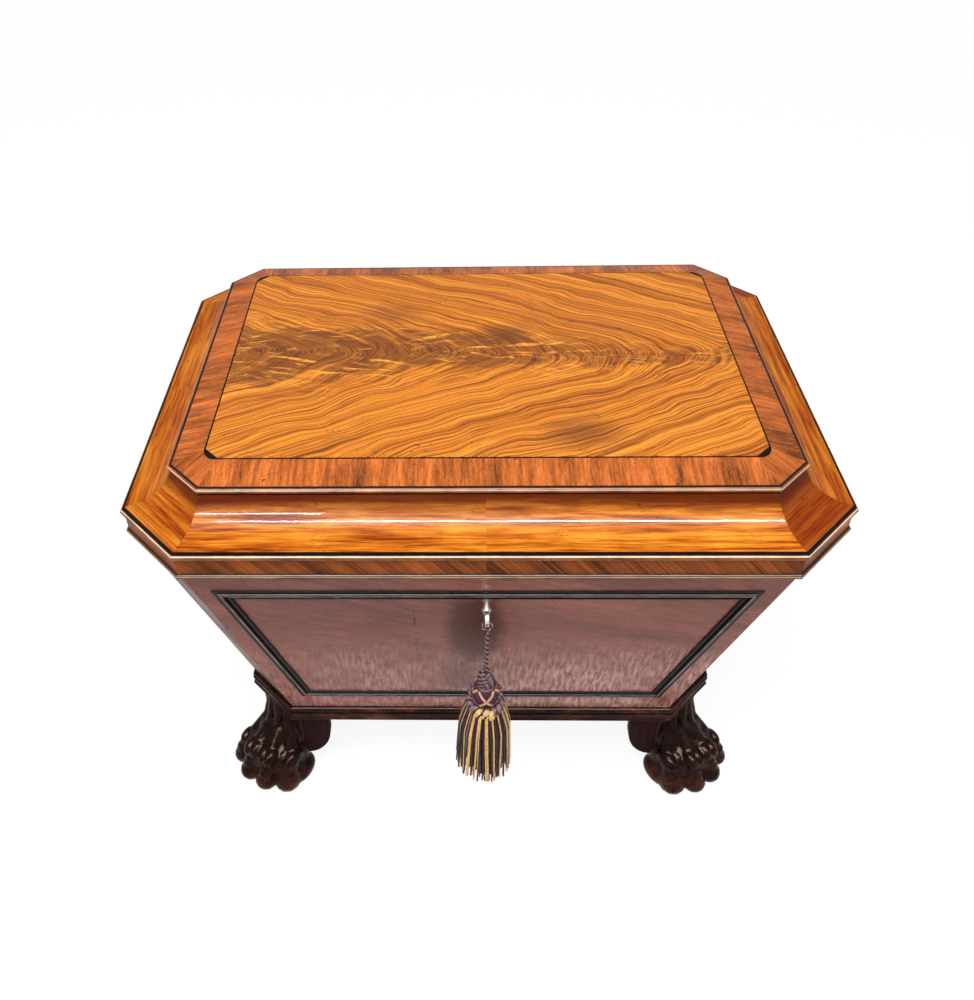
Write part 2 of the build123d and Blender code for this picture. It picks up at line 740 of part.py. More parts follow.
# Metal lining and bottle divisions
liner_floor = BASE + BOTTOM_BOARD
liner_top = RIM - LINER_TOP_DROP
with BuildPart() as metal_liner:
    for height in (liner_floor, liner_top):
        with BuildSketch(level(height)):
            outline(carcase_corners(height, WALL + LINER_FIT))
    loft(ruled=True)
    for height in (liner_floor + LINER, liner_top):
        with BuildSketch(level(height)):
            outline(carcase_corners(height, WALL + LINER_FIT + LINER))
    loft(ruled=True, mode=Mode.SUBTRACT)

division_floor = liner_floor + LINER
inside = carcase_corners(division_floor, WALL + LINER_FIT + LINER)
cells_length = 2 * (inside[2][0] - DIVISION_END_GAP)
cells_depth = 2 * (inside[4][1] - DIVISION_SIDE_GAP)
cross_pitch = (cells_length + DIVISION_BOARD) / CELLS_LONG
long_pitch = (cells_depth + DIVISION_BOARD) / CELLS_DEEP
cross_places = [(i - CELLS_LONG / 2) * cross_pitch for i in range(1, CELLS_LONG)]
long_places = [(i - CELLS_DEEP / 2) * long_pitch for i in range(1, CELLS_DEEP)]
crossings = [(x, y) for x in cross_places for y in long_places]
lap = DIVISION_BOARD + 2 * LAP_FIT
with BuildPart() as cross_divisions:
    with BuildSketch(level(division_floor)):
        with Locations(*[(x, 0) for x in cross_places]):
            Rectangle(DIVISION_BOARD, cells_depth)
    extrude(amount=DIVISION_HEIGHT)
    with BuildSketch(level(division_floor)):
        with Locations(*crossings):
            Rectangle(lap, lap)
    extrude(amount=DIVISION_HEIGHT / 2 + LAP_FIT, mode=Mode.SUBTRACT)

with BuildPart() as long_divisions:
    with BuildSketch(level(division_floor)):
        with Locations(*[(0, y) for y in long_places]):
            Rectangle(cells_length, DIVISION_BOARD)
    extrude(amount=DIVISION_HEIGHT)
    with BuildSketch(level(division_floor + DIVISION_HEIGHT)):
        with Locations(*crossings):
            Rectangle(lap, lap)
    extrude(amount=-DIVISION_HEIGHT / 2, mode=Mode.SUBTRACT)

# Lid frame and its veneer
lid_edge_underside = LID_EDGE_HEIGHT - EDGE_STRING_HEIGHT - 2 * EDGE_BEAD_RADIUS
frame_height = lid_edge_underside - LID_UNDERSIDE
frame_outer = lid_corners(FRIEZE_VENEER)
frame_inner = lid_corners(LID_FRAME_DEPTH)


def lid_frame_lengths(sides):
    """Plain boards of the lid's frame."""
    return mitred_lengths(
        level(LID_UNDERSIDE),
        frame_outer,
        frame_inner,
        sides,
        lambda: strip(LID_FRAME_DEPTH - FRIEZE_VENEER, 0, frame_height),
    )


front_frame_length = lid_frame_lengths((FRONT,))
with BuildPart() as lid_frame_front:
    add(front_frame_length)
    with BuildSketch(level(LID_UNDERSIDE)):
        with Locations((LOCK_X, -CARCASE_DEPTH / 2 + SELVEDGE_INSET + SELVEDGE_WIDTH / 2)):
            Rectangle(SELVEDGE_LENGTH + 2 * LOCK_FIT, SELVEDGE_WIDTH + 2 * LOCK_FIT)
    extrude(amount=SELVEDGE, mode=Mode.SUBTRACT)
    screw_holes(lock_screw_points(), LID_UNDERSIDE, 1)

back_frame_length = lid_frame_lengths((BACK,))
with BuildPart() as lid_frame_back:
    add(back_frame_length)
    leaf_recess(LID_UNDERSIDE, HINGE_LEAF)
    screw_holes(hinge_screw_points(), LID_UNDERSIDE, 1)

end_frame_lengths = lid_frame_lengths((LEFT, RIGHT))
with BuildPart() as lid_frame_ends:
    add(end_frame_lengths)

cant_frame_lengths = lid_frame_lengths(CANTS)
with BuildPart() as lid_frame_cants:
    add(cant_frame_lengths)

frieze_lengths = mitred_lengths(
    level(LID_UNDERSIDE),
    lid_corners(0),
    frame_outer,
    ALL_SIDES,
    lambda: strip(FRIEZE_VENEER, 0, frame_height),
)
with BuildPart() as frieze_crossband:
    add(frieze_lengths)
    leaf_recess(LID_UNDERSIDE, HINGE_LEAF)

edge_bead_lengths = mitred_lengths(
    level(lid_edge_underside + EDGE_BEAD_RADIUS),
    lid_corners(-EDGE_BEAD_RADIUS),
    lid_corners(EDGE_STRING_DEPTH),
    ALL_SIDES,
    lambda: half_round(EDGE_BEAD_RADIUS, EDGE_STRING_DEPTH),
)
with BuildPart() as lid_edge_bead:
    add(edge_bead_lengths)

edge_string_lengths = mitred_lengths(
    level(LID_EDGE_HEIGHT),
    lid_corners(0),
    lid_corners(EDGE_STRING_DEPTH),
    ALL_SIDES,
    lambda: strip(EDGE_STRING_DEPTH, -EDGE_STRING_HEIGHT, 0),
)
with BuildPart() as lid_edge_string:
    add(edge_string_lengths)


# Cavetto mouldings
def cavetto_lengths(sides):
    """Lengths of the hollow moulding."""
    return mitred_lengths(
        level(LID_EDGE_HEIGHT),
        lid_corners(EDGE_STRING_DEPTH),
        lid_corners(CAVETTO_BACK),
        sides,
        cavetto_profile,
    )


front_cavetto_length = cavetto_lengths((FRONT,))
with BuildPart() as cavetto_front:
    add(front_cavetto_length)

back_cavetto_length = cavetto_lengths((BACK,))
with BuildPart() as cavetto_back:
    add(back_cavetto_length)

left_cavetto_length = cavetto_lengths((LEFT,))
with BuildPart() as cavetto_left:
    add(left_cavetto_length)

right_cavetto_length = cavetto_lengths((RIGHT,))
with BuildPart() as cavetto_right:
    add(right_cavetto_length)

cant_cavetto_lengths = cavetto_lengths(CANTS)
with BuildPart() as cavetto_cants:
    add(cant_cavetto_lengths)

# Raised top: board, bead, border, string and field
board_inset = TOP_EDGE_INSET + TOP_BEAD_BACK
board_edge_rise = TOP_EDGE_RISE + BORDER_SLOPE * TOP_BEAD_BACK - VENEER
with BuildPart() as lid_top_board:
    with BuildSketch(level(LID_EDGE_HEIGHT + CAVETTO_RISE)):
        outline(lid_corners(board_inset))
    extrude(amount=board_edge_rise - CAVETTO_RISE)
    with BuildSketch(level(LID_EDGE_HEIGHT + board_edge_rise)):
        outline(lid_corners(board_inset))
    with BuildSketch(level(LID_EDGE_HEIGHT + FIELD_RISE - VENEER)):
        outline(lid_corners(FIELD_INSET))
    loft(ruled=True)

top_bead_lengths = mitred_lengths(
    level(LID_EDGE_HEIGHT + TOP_EDGE_RISE - TOP_BEAD_RADIUS),
    lid_corners(TOP_EDGE_INSET - TOP_BEAD_RADIUS),
    lid_corners(board_inset),
    ALL_SIDES,
    lambda: half_round(TOP_BEAD_RADIUS, TOP_BEAD_BACK),
)
with BuildPart() as top_bead:
    add(top_bead_lengths)

field = lid_corners(FIELD_INSET)
string_length = 2 * field[2][0] + 2 * STRING_WIDTH
string_depth = 2 * field[4][1] + 2 * STRING_WIDTH
string_rounding = field[1][1] * -1 + field[2][1] + STRING_WIDTH

border_lengths = mitred_lengths(
    level(LID_EDGE_HEIGHT),
    lid_corners(board_inset),
    lid_corners(FIELD_INSET - STRING_WIDTH),
    ALL_SIDES,
    crossband_profile,
)
with BuildPart() as lid_crossband:
    add(border_lengths)
    with BuildSketch(level(LID_EDGE_HEIGHT)):
        RectangleRounded(string_length, string_depth, string_rounding)
    extrude(amount=THROUGH, mode=Mode.SUBTRACT)

with BuildPart() as field_string:
    with BuildSketch(level(LID_EDGE_HEIGHT + FIELD_RISE - VENEER)):
        RectangleRounded(string_length, string_depth, string_rounding)
        with BuildLine():
            Polyline(*field, close=True)
        make_face(mode=Mode.SUBTRACT)
    extrude(amount=VENEER - STRING_SINK)

with BuildPart() as field_veneer:
    with BuildSketch(level(LID_EDGE_HEIGHT + FIELD_RISE - VENEER)):
        outline(field)
    extrude(amount=VENEER)

# Hinges
carcase_hinge_leaves = hinge_leaf(RIM - HINGE_LEAF, range(0, HINGE_KNUCKLES, 2))
lid_hinge_leaves = hinge_leaf(LID_UNDERSIDE, range(1, HINGE_KNUCKLES, 2))

with BuildPart() as hinge_pins:
    for side in (-1, 1):
        with BuildSketch(
            Plane((side * HINGE_SPREAD, CENTRE_Y + HINGE_Y, HINGE_Z), x_dir=(0, 1, 0), z_dir=(1, 0, 0))
        ):
            Circle(PIN_RADIUS)
        extrude(amount=(HINGE_LENGTH - KNUCKLE_GAP) / 2, both=True)

carcase_hinge_screws = screws(hinge_screw_points(), RIM, -1)
lid_hinge_screws = screws(hinge_screw_points(), LID_UNDERSIDE, 1)

# Lock
eye = LOCK.from_local_coords(Vector(0, PRONG_HEIGHT, -PRONG_DEPTH))
eye_y = eye.Y - CENTRE_Y
link_places = [(LOCK_X + side * LINK_SPREAD, eye_y) for side in (-1, 1)]


def link_slots():
    """Cuts the passages of both links out of the part that is open."""
    with BuildSketch(level(RIM)) as slots:
        with Locations(*link_places):
            Rectangle(LINK_THICKNESS + 2 * LINK_CLEARANCE, LINK_WIDTH + 2 * LINK_CLEARANCE)
    extrude(slots.sketch, amount=-LINK_LENGTH, mode=Mode.SUBTRACT)


case_back = WALL_ACROSS - LOCK_FIT
case_middle = (LOCK_ABOVE - LOCK_BELOW) / 2
case_height = LOCK_ABOVE + LOCK_BELOW
with BuildPart() as lock_case:
    with BuildSketch(LOCK.offset(-LOCK_SKIN)):
        with Locations((0, case_middle)):
            Rectangle(LOCK_LENGTH, case_height)
    extrude(amount=LOCK_SKIN + LOCK_PLATE - case_back)
    with BuildSketch(LOCK.offset(-LOCK_SKIN - LOCK_PLATE)):
        with Locations((0, case_middle)):
            Rectangle(LOCK_LENGTH - 2 * LOCK_PLATE, case_height - 2 * LOCK_PLATE)
    extrude(amount=-WALL, mode=Mode.SUBTRACT)
    with BuildSketch(LOCK):
        Circle(CURTAIN_RADIUS + CURTAIN_FIT)
    extrude(amount=-LOCK_SKIN - LOCK_PLATE, mode=Mode.SUBTRACT)
    link_slots()

with BuildPart() as lock_cap:
    with BuildSketch(LOCK.offset(-case_back)):
        with Locations((0, case_middle)):
            Rectangle(LOCK_LENGTH, case_height)
    extrude(amount=LOCK_PLATE)

with BuildPart() as drill_pin:
    with BuildSketch(LOCK.offset(-DRILL_PIN_TIP)):
        Circle(DRILL_PIN_RADIUS)
    extrude(amount=DRILL_PIN_TIP + LOCK_PLATE - case_back)

with BuildPart() as selvedge:
    with BuildSketch(level(RIM - SELVEDGE)):
        with Locations((LOCK_X, -CARCASE_DEPTH / 2 + SELVEDGE_INSET + SELVEDGE_WIDTH / 2)):
            Rectangle(SELVEDGE_LENGTH, SELVEDGE_WIDTH)
    extrude(amount=SELVEDGE)
    link_slots()
    screw_holes(lock_screw_points(), RIM, -1)

selvedge_screws = screws(lock_screw_points(), RIM, -1)

with BuildPart() as link_plate:
    with BuildSketch(level(LID_UNDERSIDE)):
        with Locations((LOCK_X, -CARCASE_DEPTH / 2 + SELVEDGE_INSET + SELVEDGE_WIDTH / 2)):
            Rectangle(SELVEDGE_LENGTH, SELVEDGE_WIDTH)
    extrude(amount=SELVEDGE)
    with BuildSketch(level(LID_UNDERSIDE)):
        with Locations(*link_places):
            Rectangle(LINK_THICKNESS, LINK_WIDTH)
    extrude(amount=-LINK_LENGTH)
    with BuildSketch(Plane(eye, x_dir=(0, 1, 0), z_dir=(1, 0, 0))):
        Rectangle(LINK_EYE_WIDTH, LINK_EYE_HEIGHT)
    extrude(amount=LINK_SPREAD + LINK_THICKNESS, both=True, mode=Mode.SUBTRACT)
    screw_holes(lock_screw_points(), LID_UNDERSIDE, 1)

link_plate_screws = screws(lock_screw_points(), LID_UNDERSIDE, 1)

bolt_back = case_back - LOCK_PLATE - BOLT_FIT
post_start = -LINK_SPREAD - LINK_THICKNESS / 2 - PRONG_GAP - PRONG_LENGTH
with BuildPart() as lock_bolt:
    with BuildSketch(LOCK.offset(-bolt_back)):
        with Locations((post_start + BOLT_LENGTH / 2, (BOLT_BOTTOM + BOLT_TOP) / 2)):
            Rectangle(BOLT_LENGTH, BOLT_TOP - BOLT_BOTTOM)
    extrude(amount=BOLT_THICKNESS)
    for shift in (0, 2 * LINK_SPREAD):
        with BuildSketch(LOCK.offset(-PRONG_DEPTH - PRONG / 2)):
            with Locations((post_start + shift + PRONG_POST / 2, (BOLT_TOP + PRONG_HEIGHT) / 2)):
                Rectangle(PRONG_POST, PRONG_HEIGHT - BOLT_TOP + PRONG)
            with Locations((post_start + shift + PRONG_LENGTH / 2, PRONG_HEIGHT)):
                Rectangle(PRONG_LENGTH, PRONG)
        extrude(amount=PRONG)

with BuildPart() as lock_curtain:
    with BuildSketch(LOCK.offset(-LOCK_SKIN + LOCK_FIT - CURTAIN_FIT)):
        Circle(CURTAIN_RADIUS)
    extrude(amount=-CURTAIN_THICKNESS)
    with BuildSketch(LOCK):
        keyhole(KEY_RADIUS + KEY_FIT, BIT_THICKNESS + 2 * BIT_FIT, BIT_REACH + BIT_FIT)
    extrude(amount=-WALL, mode=Mode.SUBTRACT)

with BuildPart() as escutcheon:
    with BuildSketch(LOCK.offset(-ESCUTCHEON_DEPTH)):
        keyhole(
            KEYHOLE_RADIUS + ESCUTCHEON_BORDER,
            KEYHOLE_SLOT + 2 * ESCUTCHEON_BORDER,
            KEYHOLE_LENGTH + ESCUTCHEON_BORDER,
        )
    extrude(amount=ESCUTCHEON_DEPTH + ESCUTCHEON_PROUD)
    with BuildSketch(LOCK.offset(-ESCUTCHEON_DEPTH)):
        keyhole(KEYHOLE_RADIUS, KEYHOLE_SLOT, KEYHOLE_LENGTH)
    extrude(amount=ESCUTCHEON_DEPTH + ESCUTCHEON_PROUD, mode=Mode.SUBTRACT)

# Key, with its bit down and its bow upright
bow_plane = Plane(LOCK.from_local_coords(Vector(0, 0, BOW_CENTRE)), x_dir=LOCK.z_dir, z_dir=LOCK.x_dir)
with BuildPart() as key:
    with BuildSketch(bow_plane):
        Circle(BOW_RADIUS)
        Circle(BOW_HOLE, mode=Mode.SUBTRACT)
    extrude(amount=BOW_THICKNESS / 2, both=True)
    fillet(key.edges().filter_by(GeomType.CIRCLE), radius=BOW_ROUNDING)
    with BuildSketch(LOCK.offset(-KEY_DEPTH)):
        Circle(KEY_RADIUS)
    extrude(amount=KEY_DEPTH + KEY_REACH + 2 * BOW_ROUNDING)
    with BuildSketch(LOCK.offset(COLLAR_START)):
        Circle(COLLAR_RADIUS)
    extrude(amount=COLLAR_LENGTH)
    with BuildSketch(LOCK.offset(-KEY_DEPTH)):
        with Locations((0, -BIT_REACH / 2)):
            Rectangle(BIT_THICKNESS, BIT_REACH)
    extrude(amount=BIT_WIDTH)
    with BuildSketch(LOCK.offset(-KEY_DEPTH + (BIT_WIDTH - WARD_WIDTH) / 2)):
        with Locations((0, -BIT_REACH + WARD_DEPTH / 2)):
            Rectangle(2 * BIT_THICKNESS, WARD_DEPTH)
    extrude(amount=WARD_WIDTH, mode=Mode.SUBTRACT)
    with BuildSketch(LOCK.offset(-KEY_DEPTH)):
        Circle(DRILL_PIN_RADIUS + DRILL_PIN_FIT)
    extrude(amount=KEY_BORE_DEPTH, mode=Mode.SUBTRACT)

# Cord loop round the end of the bow, then the hanging cord and the tassel under it
loop_plane = Plane(LOCK.from_local_coords(Vector(0, 0, LOOP_CENTRE)), x_dir=LOCK.x_dir, z_dir=LOCK.y_dir)
with BuildPart(loop_plane) as cord_loop:
    Torus(LOOP_RADIUS, LOOP_CORD_RADIUS)

cord_spot = LOCK.from_local_coords(Vector(0, 0, CORD_CENTRE))
cord_top = cord_spot.Z + CORD_ABOVE
knob_top = cord_top - CORD_LENGTH
mould_top = knob_top - KNOB_HEIGHT
ruff_top = mould_top - MOULD_HEIGHT + MOULD_SINK
skirt_top = ruff_top - 2 * RUFF_CORD_RADIUS
hanging = Plane((cord_spot.X, cord_spot.Y, 0), x_dir=(1, 0, 0), z_dir=(0, -1, 0))
hanging_line = Axis((cord_spot.X, cord_spot.Y, 0), (0, 0, 1))

with BuildPart() as tassel_cord:
    with BuildSketch(Plane((cord_spot.X, cord_spot.Y, knob_top))):
        Circle(CORD_RADIUS)
    extrude(amount=CORD_LENGTH)


def round_body(top, height, top_radius, middle_radius, bottom_radius):
    """Swelling round body about the hanging line."""
    with BuildPart() as body:
        with BuildSketch(hanging):
            with BuildLine():
                ThreePointArc(
                    (top_radius, top), (middle_radius, top - height / 2), (bottom_radius, top - height)
                )
                Polyline((bottom_radius, top - height), (0, top - height), (0, top), (top_radius, top))
            make_face()
        revolve(axis=hanging_line)
    return body


tassel_knob = round_body(knob_top, KNOB_HEIGHT, KNOB_TOP_RADIUS, KNOB_RADIUS, MOULD_END_RADIUS)
tassel_mould = round_body(mould_top, MOULD_HEIGHT, MOULD_END_RADIUS, MOULD_RADIUS, MOULD_END_RADIUS)

with BuildPart(Plane((cord_spot.X, cord_spot.Y, ruff_top - RUFF_CORD_RADIUS))) as tassel_ruff:
    Torus(RUFF_RADIUS - RUFF_CORD_RADIUS, RUFF_CORD_RADIUS)

with BuildPart() as tassel_skirt:
    with BuildSketch(hanging):
        outline([
            (0, skirt_top),
            (SKIRT_TOP_RADIUS, skirt_top),
            (SKIRT_SHOULDER_RADIUS, skirt_top - SKIRT_SHOULDER_DROP),
            (SKIRT_BOTTOM_RADIUS, skirt_top - SKIRT_LENGTH),
            (0, skirt_top - SKIRT_LENGTH),
        ])
    revolve(axis=hanging_line)

pieces = {
    "front_board": front_board,
    "back_board": back_board,
    "left_board": left_board,
    "right_board": right_board,
    "canted_corners": canted_corners,
    "rim_bead": rim_bead,
    "base_moulding": base_moulding,
    "front_panel_moulding": front_panel_moulding,
    "end_panel_mouldings": end_panel_mouldings,
    "paw_front_left": paw_front_left,
    "paw_front_right": paw_front_right,
    "paw_back_left": paw_back_left,
    "paw_back_right": paw_back_right,
    "foot_brackets": foot_brackets,
    "foot_dowels": foot_dowels,
    "bottom_board": bottom_board,
    "metal_liner": metal_liner,
    "cross_divisions": cross_divisions,
    "long_divisions": long_divisions,
    "lid_frame_front": lid_frame_front,
    "lid_frame_back": lid_frame_back,
    "lid_frame_ends": lid_frame_ends,
    "lid_frame_cants": lid_frame_cants,
    "frieze_crossband": frieze_crossband,
    "lid_edge_bead": lid_edge_bead,
    "lid_edge_string": lid_edge_string,
    "cavetto_front": cavetto_front,
    "cavetto_back": cavetto_back,
    "cavetto_left": cavetto_left,
    "cavetto_right": cavetto_right,
    "cavetto_cants": cavetto_cants,
    "lid_top_board": lid_top_board,
    "top_bead": top_bead,
    "lid_crossband": lid_crossband,
    "field_string": field_string,
    "field_veneer": field_veneer,
    "carcase_hinge_leaves": carcase_hinge_leaves,
    "lid_hinge_leaves": lid_hinge_leaves,
    "hinge_pins": hinge_pins,
    "carcase_hinge_screws": carcase_hinge_screws,
    "lid_hinge_screws": lid_hinge_screws,
    "lock_case": lock_case,
    "lock_cap": lock_cap,
    "drill_pin": drill_pin,
    "selvedge": selvedge,
    "selvedge_screws": selvedge_screws,
    "link_plate": link_plate,
    "link_plate_screws": link_plate_screws,
    "lock_bolt": lock_bolt,
    "lock_curtain": lock_curtain,
    "escutcheon": escutcheon,
    "key": key,
    "cord_loop": cord_loop,
    "tassel_cord": tassel_cord,
    "tassel_knob": tassel_knob,
    "tassel_mould": tassel_mould,
    "tassel_ruff": tassel_ruff,
    "tassel_skirt": tassel_skirt,
}

os.makedirs("parts", exist_ok=True)
for name, piece in pieces.items():
    piece.part.label = name
    export_step(piece.part, f"parts/{name}.step")
print("origin behind the lid's middle by", round(CENTRE_Y, 3), "and front slope", round(degrees(SLOPE_ANGLE), 3))
print("lock", LOCK.origin, "cord", cord_spot, "cord top", cord_top)
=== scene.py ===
"""Looks for a canted wine chest: polished veneers, carved paw feet, lock metal and a tassel on its key."""

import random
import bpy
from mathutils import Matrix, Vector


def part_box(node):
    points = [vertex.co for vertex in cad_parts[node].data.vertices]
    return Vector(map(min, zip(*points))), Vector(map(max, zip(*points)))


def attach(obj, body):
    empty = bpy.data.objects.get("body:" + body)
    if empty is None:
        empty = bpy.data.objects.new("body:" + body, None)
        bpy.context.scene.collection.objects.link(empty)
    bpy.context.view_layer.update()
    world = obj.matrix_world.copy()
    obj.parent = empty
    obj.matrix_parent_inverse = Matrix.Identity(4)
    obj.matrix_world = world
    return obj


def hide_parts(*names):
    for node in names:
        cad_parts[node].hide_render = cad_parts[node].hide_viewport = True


bl_info = {
    "name": "Canted Wine Chest",
    "version": (1, 0, 0),
    "blender": (4, 5, 0),
    "location": "View3D > Sidebar > Wine Chest",
    "description": "Dresses the chest's frame in veneer, carving, metal and cord, and sets its stage",
    "category": "Object",
}

from math import cos, pi, radians, sin, sqrt, tau

import bmesh
import bpy
from bpy.props import FloatProperty, FloatVectorProperty, IntProperty, PointerProperty
from mathutils import Matrix, Vector

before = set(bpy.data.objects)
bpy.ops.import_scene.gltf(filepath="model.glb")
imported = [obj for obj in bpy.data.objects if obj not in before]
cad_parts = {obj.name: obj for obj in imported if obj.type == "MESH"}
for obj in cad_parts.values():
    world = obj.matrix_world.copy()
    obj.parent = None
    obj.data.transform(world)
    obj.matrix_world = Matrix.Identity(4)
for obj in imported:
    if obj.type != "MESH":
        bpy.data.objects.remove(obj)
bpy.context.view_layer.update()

# The lid's outline, and how far it stands out past the carcase
LID_LOW, LID_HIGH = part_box("lid_edge_string")
LID_MIDDLE = (LID_LOW + LID_HIGH) / 2
LID_HALF = (LID_HIGH - LID_LOW) / 2
LID_CANT = 0.0638
LID_OVERHANG = 0.001

# The carcase's rim above the floor and from the lid's middle, its lean, and where its front begins
RIM_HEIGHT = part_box("front_board")[1].z
RIM = RIM_HEIGHT - LID_MIDDLE.z
FRONT_SLOPE = radians(13.214)
FRONT_Y = -0.2

# The key and its cord
KEY_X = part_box("key")[0].x
LOOP_LOW, LOOP_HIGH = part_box("cord_loop")
CORD_LOW, CORD_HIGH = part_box("tassel_cord")
CORD_SPOT = (CORD_LOW + CORD_HIGH) / 2

# Stage white, unpolished mahogany inside the lid, and the dirt in a dent
WHITE = (1.0, 1.0, 1.0)
BARE_TIMBER = (0.150, 0.074, 0.040)
SCAR = (0.03, 0.010, 0.006)

# Painted shadows of the key and the tassel on the front: sideways from the key, down from the rim, reach, and
# depth of colour
PAINTED_SHADOW_PATCHES = ((-0.006, 0.112, 0.036, 0.78), (-0.022, 0.235, 0.024, 0.42))
# Crack on the front: place sideways, middle down from the rim, and half its height
CRACK_X, CRACK_DROP, CRACK_HALF = -0.072, 0.115, 0.050
# Swirls in the flame: sideways and up from the lid's middle, reach, and depth of colour
SWIRLS = ((0.098, -0.142, 0.034, 0.62), (0.027, 0.040, 0.026, 0.75), (-0.105, 0.085, 0.030, 0.45))

# Places of the threads in the tassel's list of materials
MAUVE, PLUM, GOLD, BLACK, RUSSET, SILK = range(6)


# Settings


def colour_setting(name, description, default):
    """Setting for a colour."""
    return FloatVectorProperty(name=name, description=description, default=default, subtype="COLOR", size=3)


def length_setting(name, description, default):
    """Setting for a length."""
    return FloatProperty(name=name, description=description, default=default, unit="LENGTH")


def place_setting(name, description, default):
    """Setting for a place."""
    return FloatVectorProperty(
        name=name, description=description, default=default, subtype="TRANSLATION", unit="LENGTH"
    )


def angle_setting(name, description, degrees):
    """Setting for an angle."""
    return FloatProperty(name=name, description=description, default=radians(degrees), subtype="ANGLE")


def power_setting(name, description, default):
    """Setting for a lamp's power."""
    return FloatProperty(name=name, description=description, default=default, unit="POWER")


class StageSettings(bpy.types.PropertyGroup):
    """Camera and light."""

    camera_place: place_setting(
        "Camera Place", "Where the camera stands", (-0.02938, -0.88233 + LID_MIDDLE.y, 1.11479)
    )
    camera_pitch: angle_setting("Camera Pitch", "How far the camera looks down", 40.86)
    camera_yaw: angle_setting("Camera Yaw", "How far the camera turns to the right", -2.26)
    camera_roll: angle_setting("Camera Roll", "How far the camera leans", -1.67)
    lens: FloatProperty(
        name="Lens",
        description="Focal length in millimetres on the sensor's 36 mm long side",
        default=34.10,
    )
    shift: FloatVectorProperty(
        name="Shift",
        description="Lens shift that centres the picture",
        default=(0.0602, -0.0264),
        size=2,
    )
    key_power: power_setting("Key Power", "Power of the soft light over the front", 30.0)
    strip_power: power_setting(
        "Strip Power", "Power of the narrow light that draws bright lines along the hollow moulding", 190.0
    )
    sky_strength: FloatProperty(
        name="Sky Strength",
        description="Strength of the even light from all round",
        default=0.62,
    )


class TimberSettings(bpy.types.PropertyGroup):
    """Colours of the polished wood."""

    flame_light: colour_setting("Flame Light", "Palest streaks of the lid's field", (1.00, 0.40, 0.052))
    flame_middle: colour_setting("Flame Middle", "Ground colour of the lid's field", (0.70, 0.215, 0.016))
    flame_dark: colour_setting("Flame Dark", "Dark feather along the lid's field", (0.105, 0.028, 0.008))
    crossband: colour_setting("Crossband", "Border, with its grain square to the edge", (0.47, 0.118, 0.022))
    cavetto: colour_setting("Cavetto", "Hollow moulding round the lid", (0.63, 0.165, 0.008))
    carcase: colour_setting("Carcase", "Dark polished sides", (0.195, 0.056, 0.036))
    bead: colour_setting("Bead", "Beads, where they are not worn", (0.24, 0.078, 0.026))
    # Painted highlight: this pale colour is laid along the upper side of each bead
    worn: colour_setting("Worn", "Bare wood where a bead is rubbed", (0.80, 0.60, 0.38))


class FootSettings(bpy.types.PropertyGroup):
    """Carved paw feet."""

    ankle: place_setting(
        "Ankle", "Ankle of the front left foot from the middle of the chest", (-0.24704, -0.15004, 0.0)
    )
    turn: angle_setting("Turn", "How far each paw points outwards", 34)
    height: length_setting("Height", "Height of the feet", 0.113)
    carving_size: length_setting("Carving Size", "Finest cut that the carving keeps", 0.0014)


class TasselSettings(bpy.types.PropertyGroup):
    """Key cord and tassel."""

    strand_radius: length_setting("Strand Radius", "Radius of one strand of the hanging cord", 0.0012)
    strands_in_fringe: IntProperty(
        name="Strands In Fringe",
        description="Strands round the outside of the fringe",
        default=92,
    )
    mauve: colour_setting("Mauve", "Pale purple thread", (0.30, 0.155, 0.175))
    plum: colour_setting("Plum", "Dark purple thread", (0.030, 0.006, 0.014))
    gold: colour_setting("Gold", "Gold thread", (0.95, 0.58, 0.20))


# Finishes


class Value:
    """A number, place or colour inside a finish; arithmetic on it adds nodes."""

    def __init__(self, tree, socket):
        self.tree = tree
        self.socket = socket

    def __add__(self, other):
        return self.tree.math("ADD", self, other)

    def __sub__(self, other):
        return self.tree.math("SUBTRACT", self, other)

    def __mul__(self, other):
        return self.tree.math("MULTIPLY", self, other)

    def __truediv__(self, other):
        return self.tree.math("DIVIDE", self, other)

    def __gt__(self, other):
        return self.tree.math("GREATER_THAN", self, other)

    def __lt__(self, other):
        return self.tree.math("LESS_THAN", self, other)

    def __abs__(self):
        return self.tree.math("ABSOLUTE", self)

    def remap(self, low, high, to_low=0.0, to_high=1.0):
        """Stretches the part between low and high to a new range, and stops at its ends."""
        inputs = {0: self, 1: low, 2: high, 3: to_low, 4: to_high}
        return self.tree.value("ShaderNodeMapRange", inputs)

    def sharp(self, gain):
        """Spreads a cloudy pattern further from its middle."""
        return self.remap(0.5 - 0.5 / gain, 0.5 + 0.5 / gain)


class Nodes:
    """The nodes of a finish or of the sky, added one step at a time."""

    def __init__(self, tree):
        self.nodes = tree.nodes
        self.links = tree.links

    def node(self, kind, inputs=None, **settings):
        """Adds a node; inputs gives a plain or a linked value for its sockets."""
        node = self.nodes.new(kind)
        for name, value in settings.items():
            setattr(node, name, value)
        for name, value in (inputs or {}).items():
            self.put(node.inputs[name], value)
        return node

    def value(self, kind, inputs=None, output=0, **settings):
        """Adds a node and gives one of its outputs."""
        return Value(self, self.node(kind, inputs, **settings).outputs[output])

    def put(self, socket, value):
        """Links a value to a socket, or sets the socket to a plain one."""
        if isinstance(value, Value):
            self.links.new(value.socket, socket)
        elif socket.type == "RGBA":
            socket.default_value = (*value[:3], 1)
        else:
            socket.default_value = value

    def math(self, operation, *values):
        """Adds one step of arithmetic."""
        return self.value("ShaderNodeMath", dict(enumerate(values)), operation=operation)

    def light_path(self, *names):
        """1 for rays of any of the named kinds, and 0 for the rest."""
        path = self.node("ShaderNodeLightPath").outputs
        seen, *others = [Value(self, path[name]) for name in names]
        for other in others:
            seen = self.math("MAXIMUM", seen, other)
        return seen


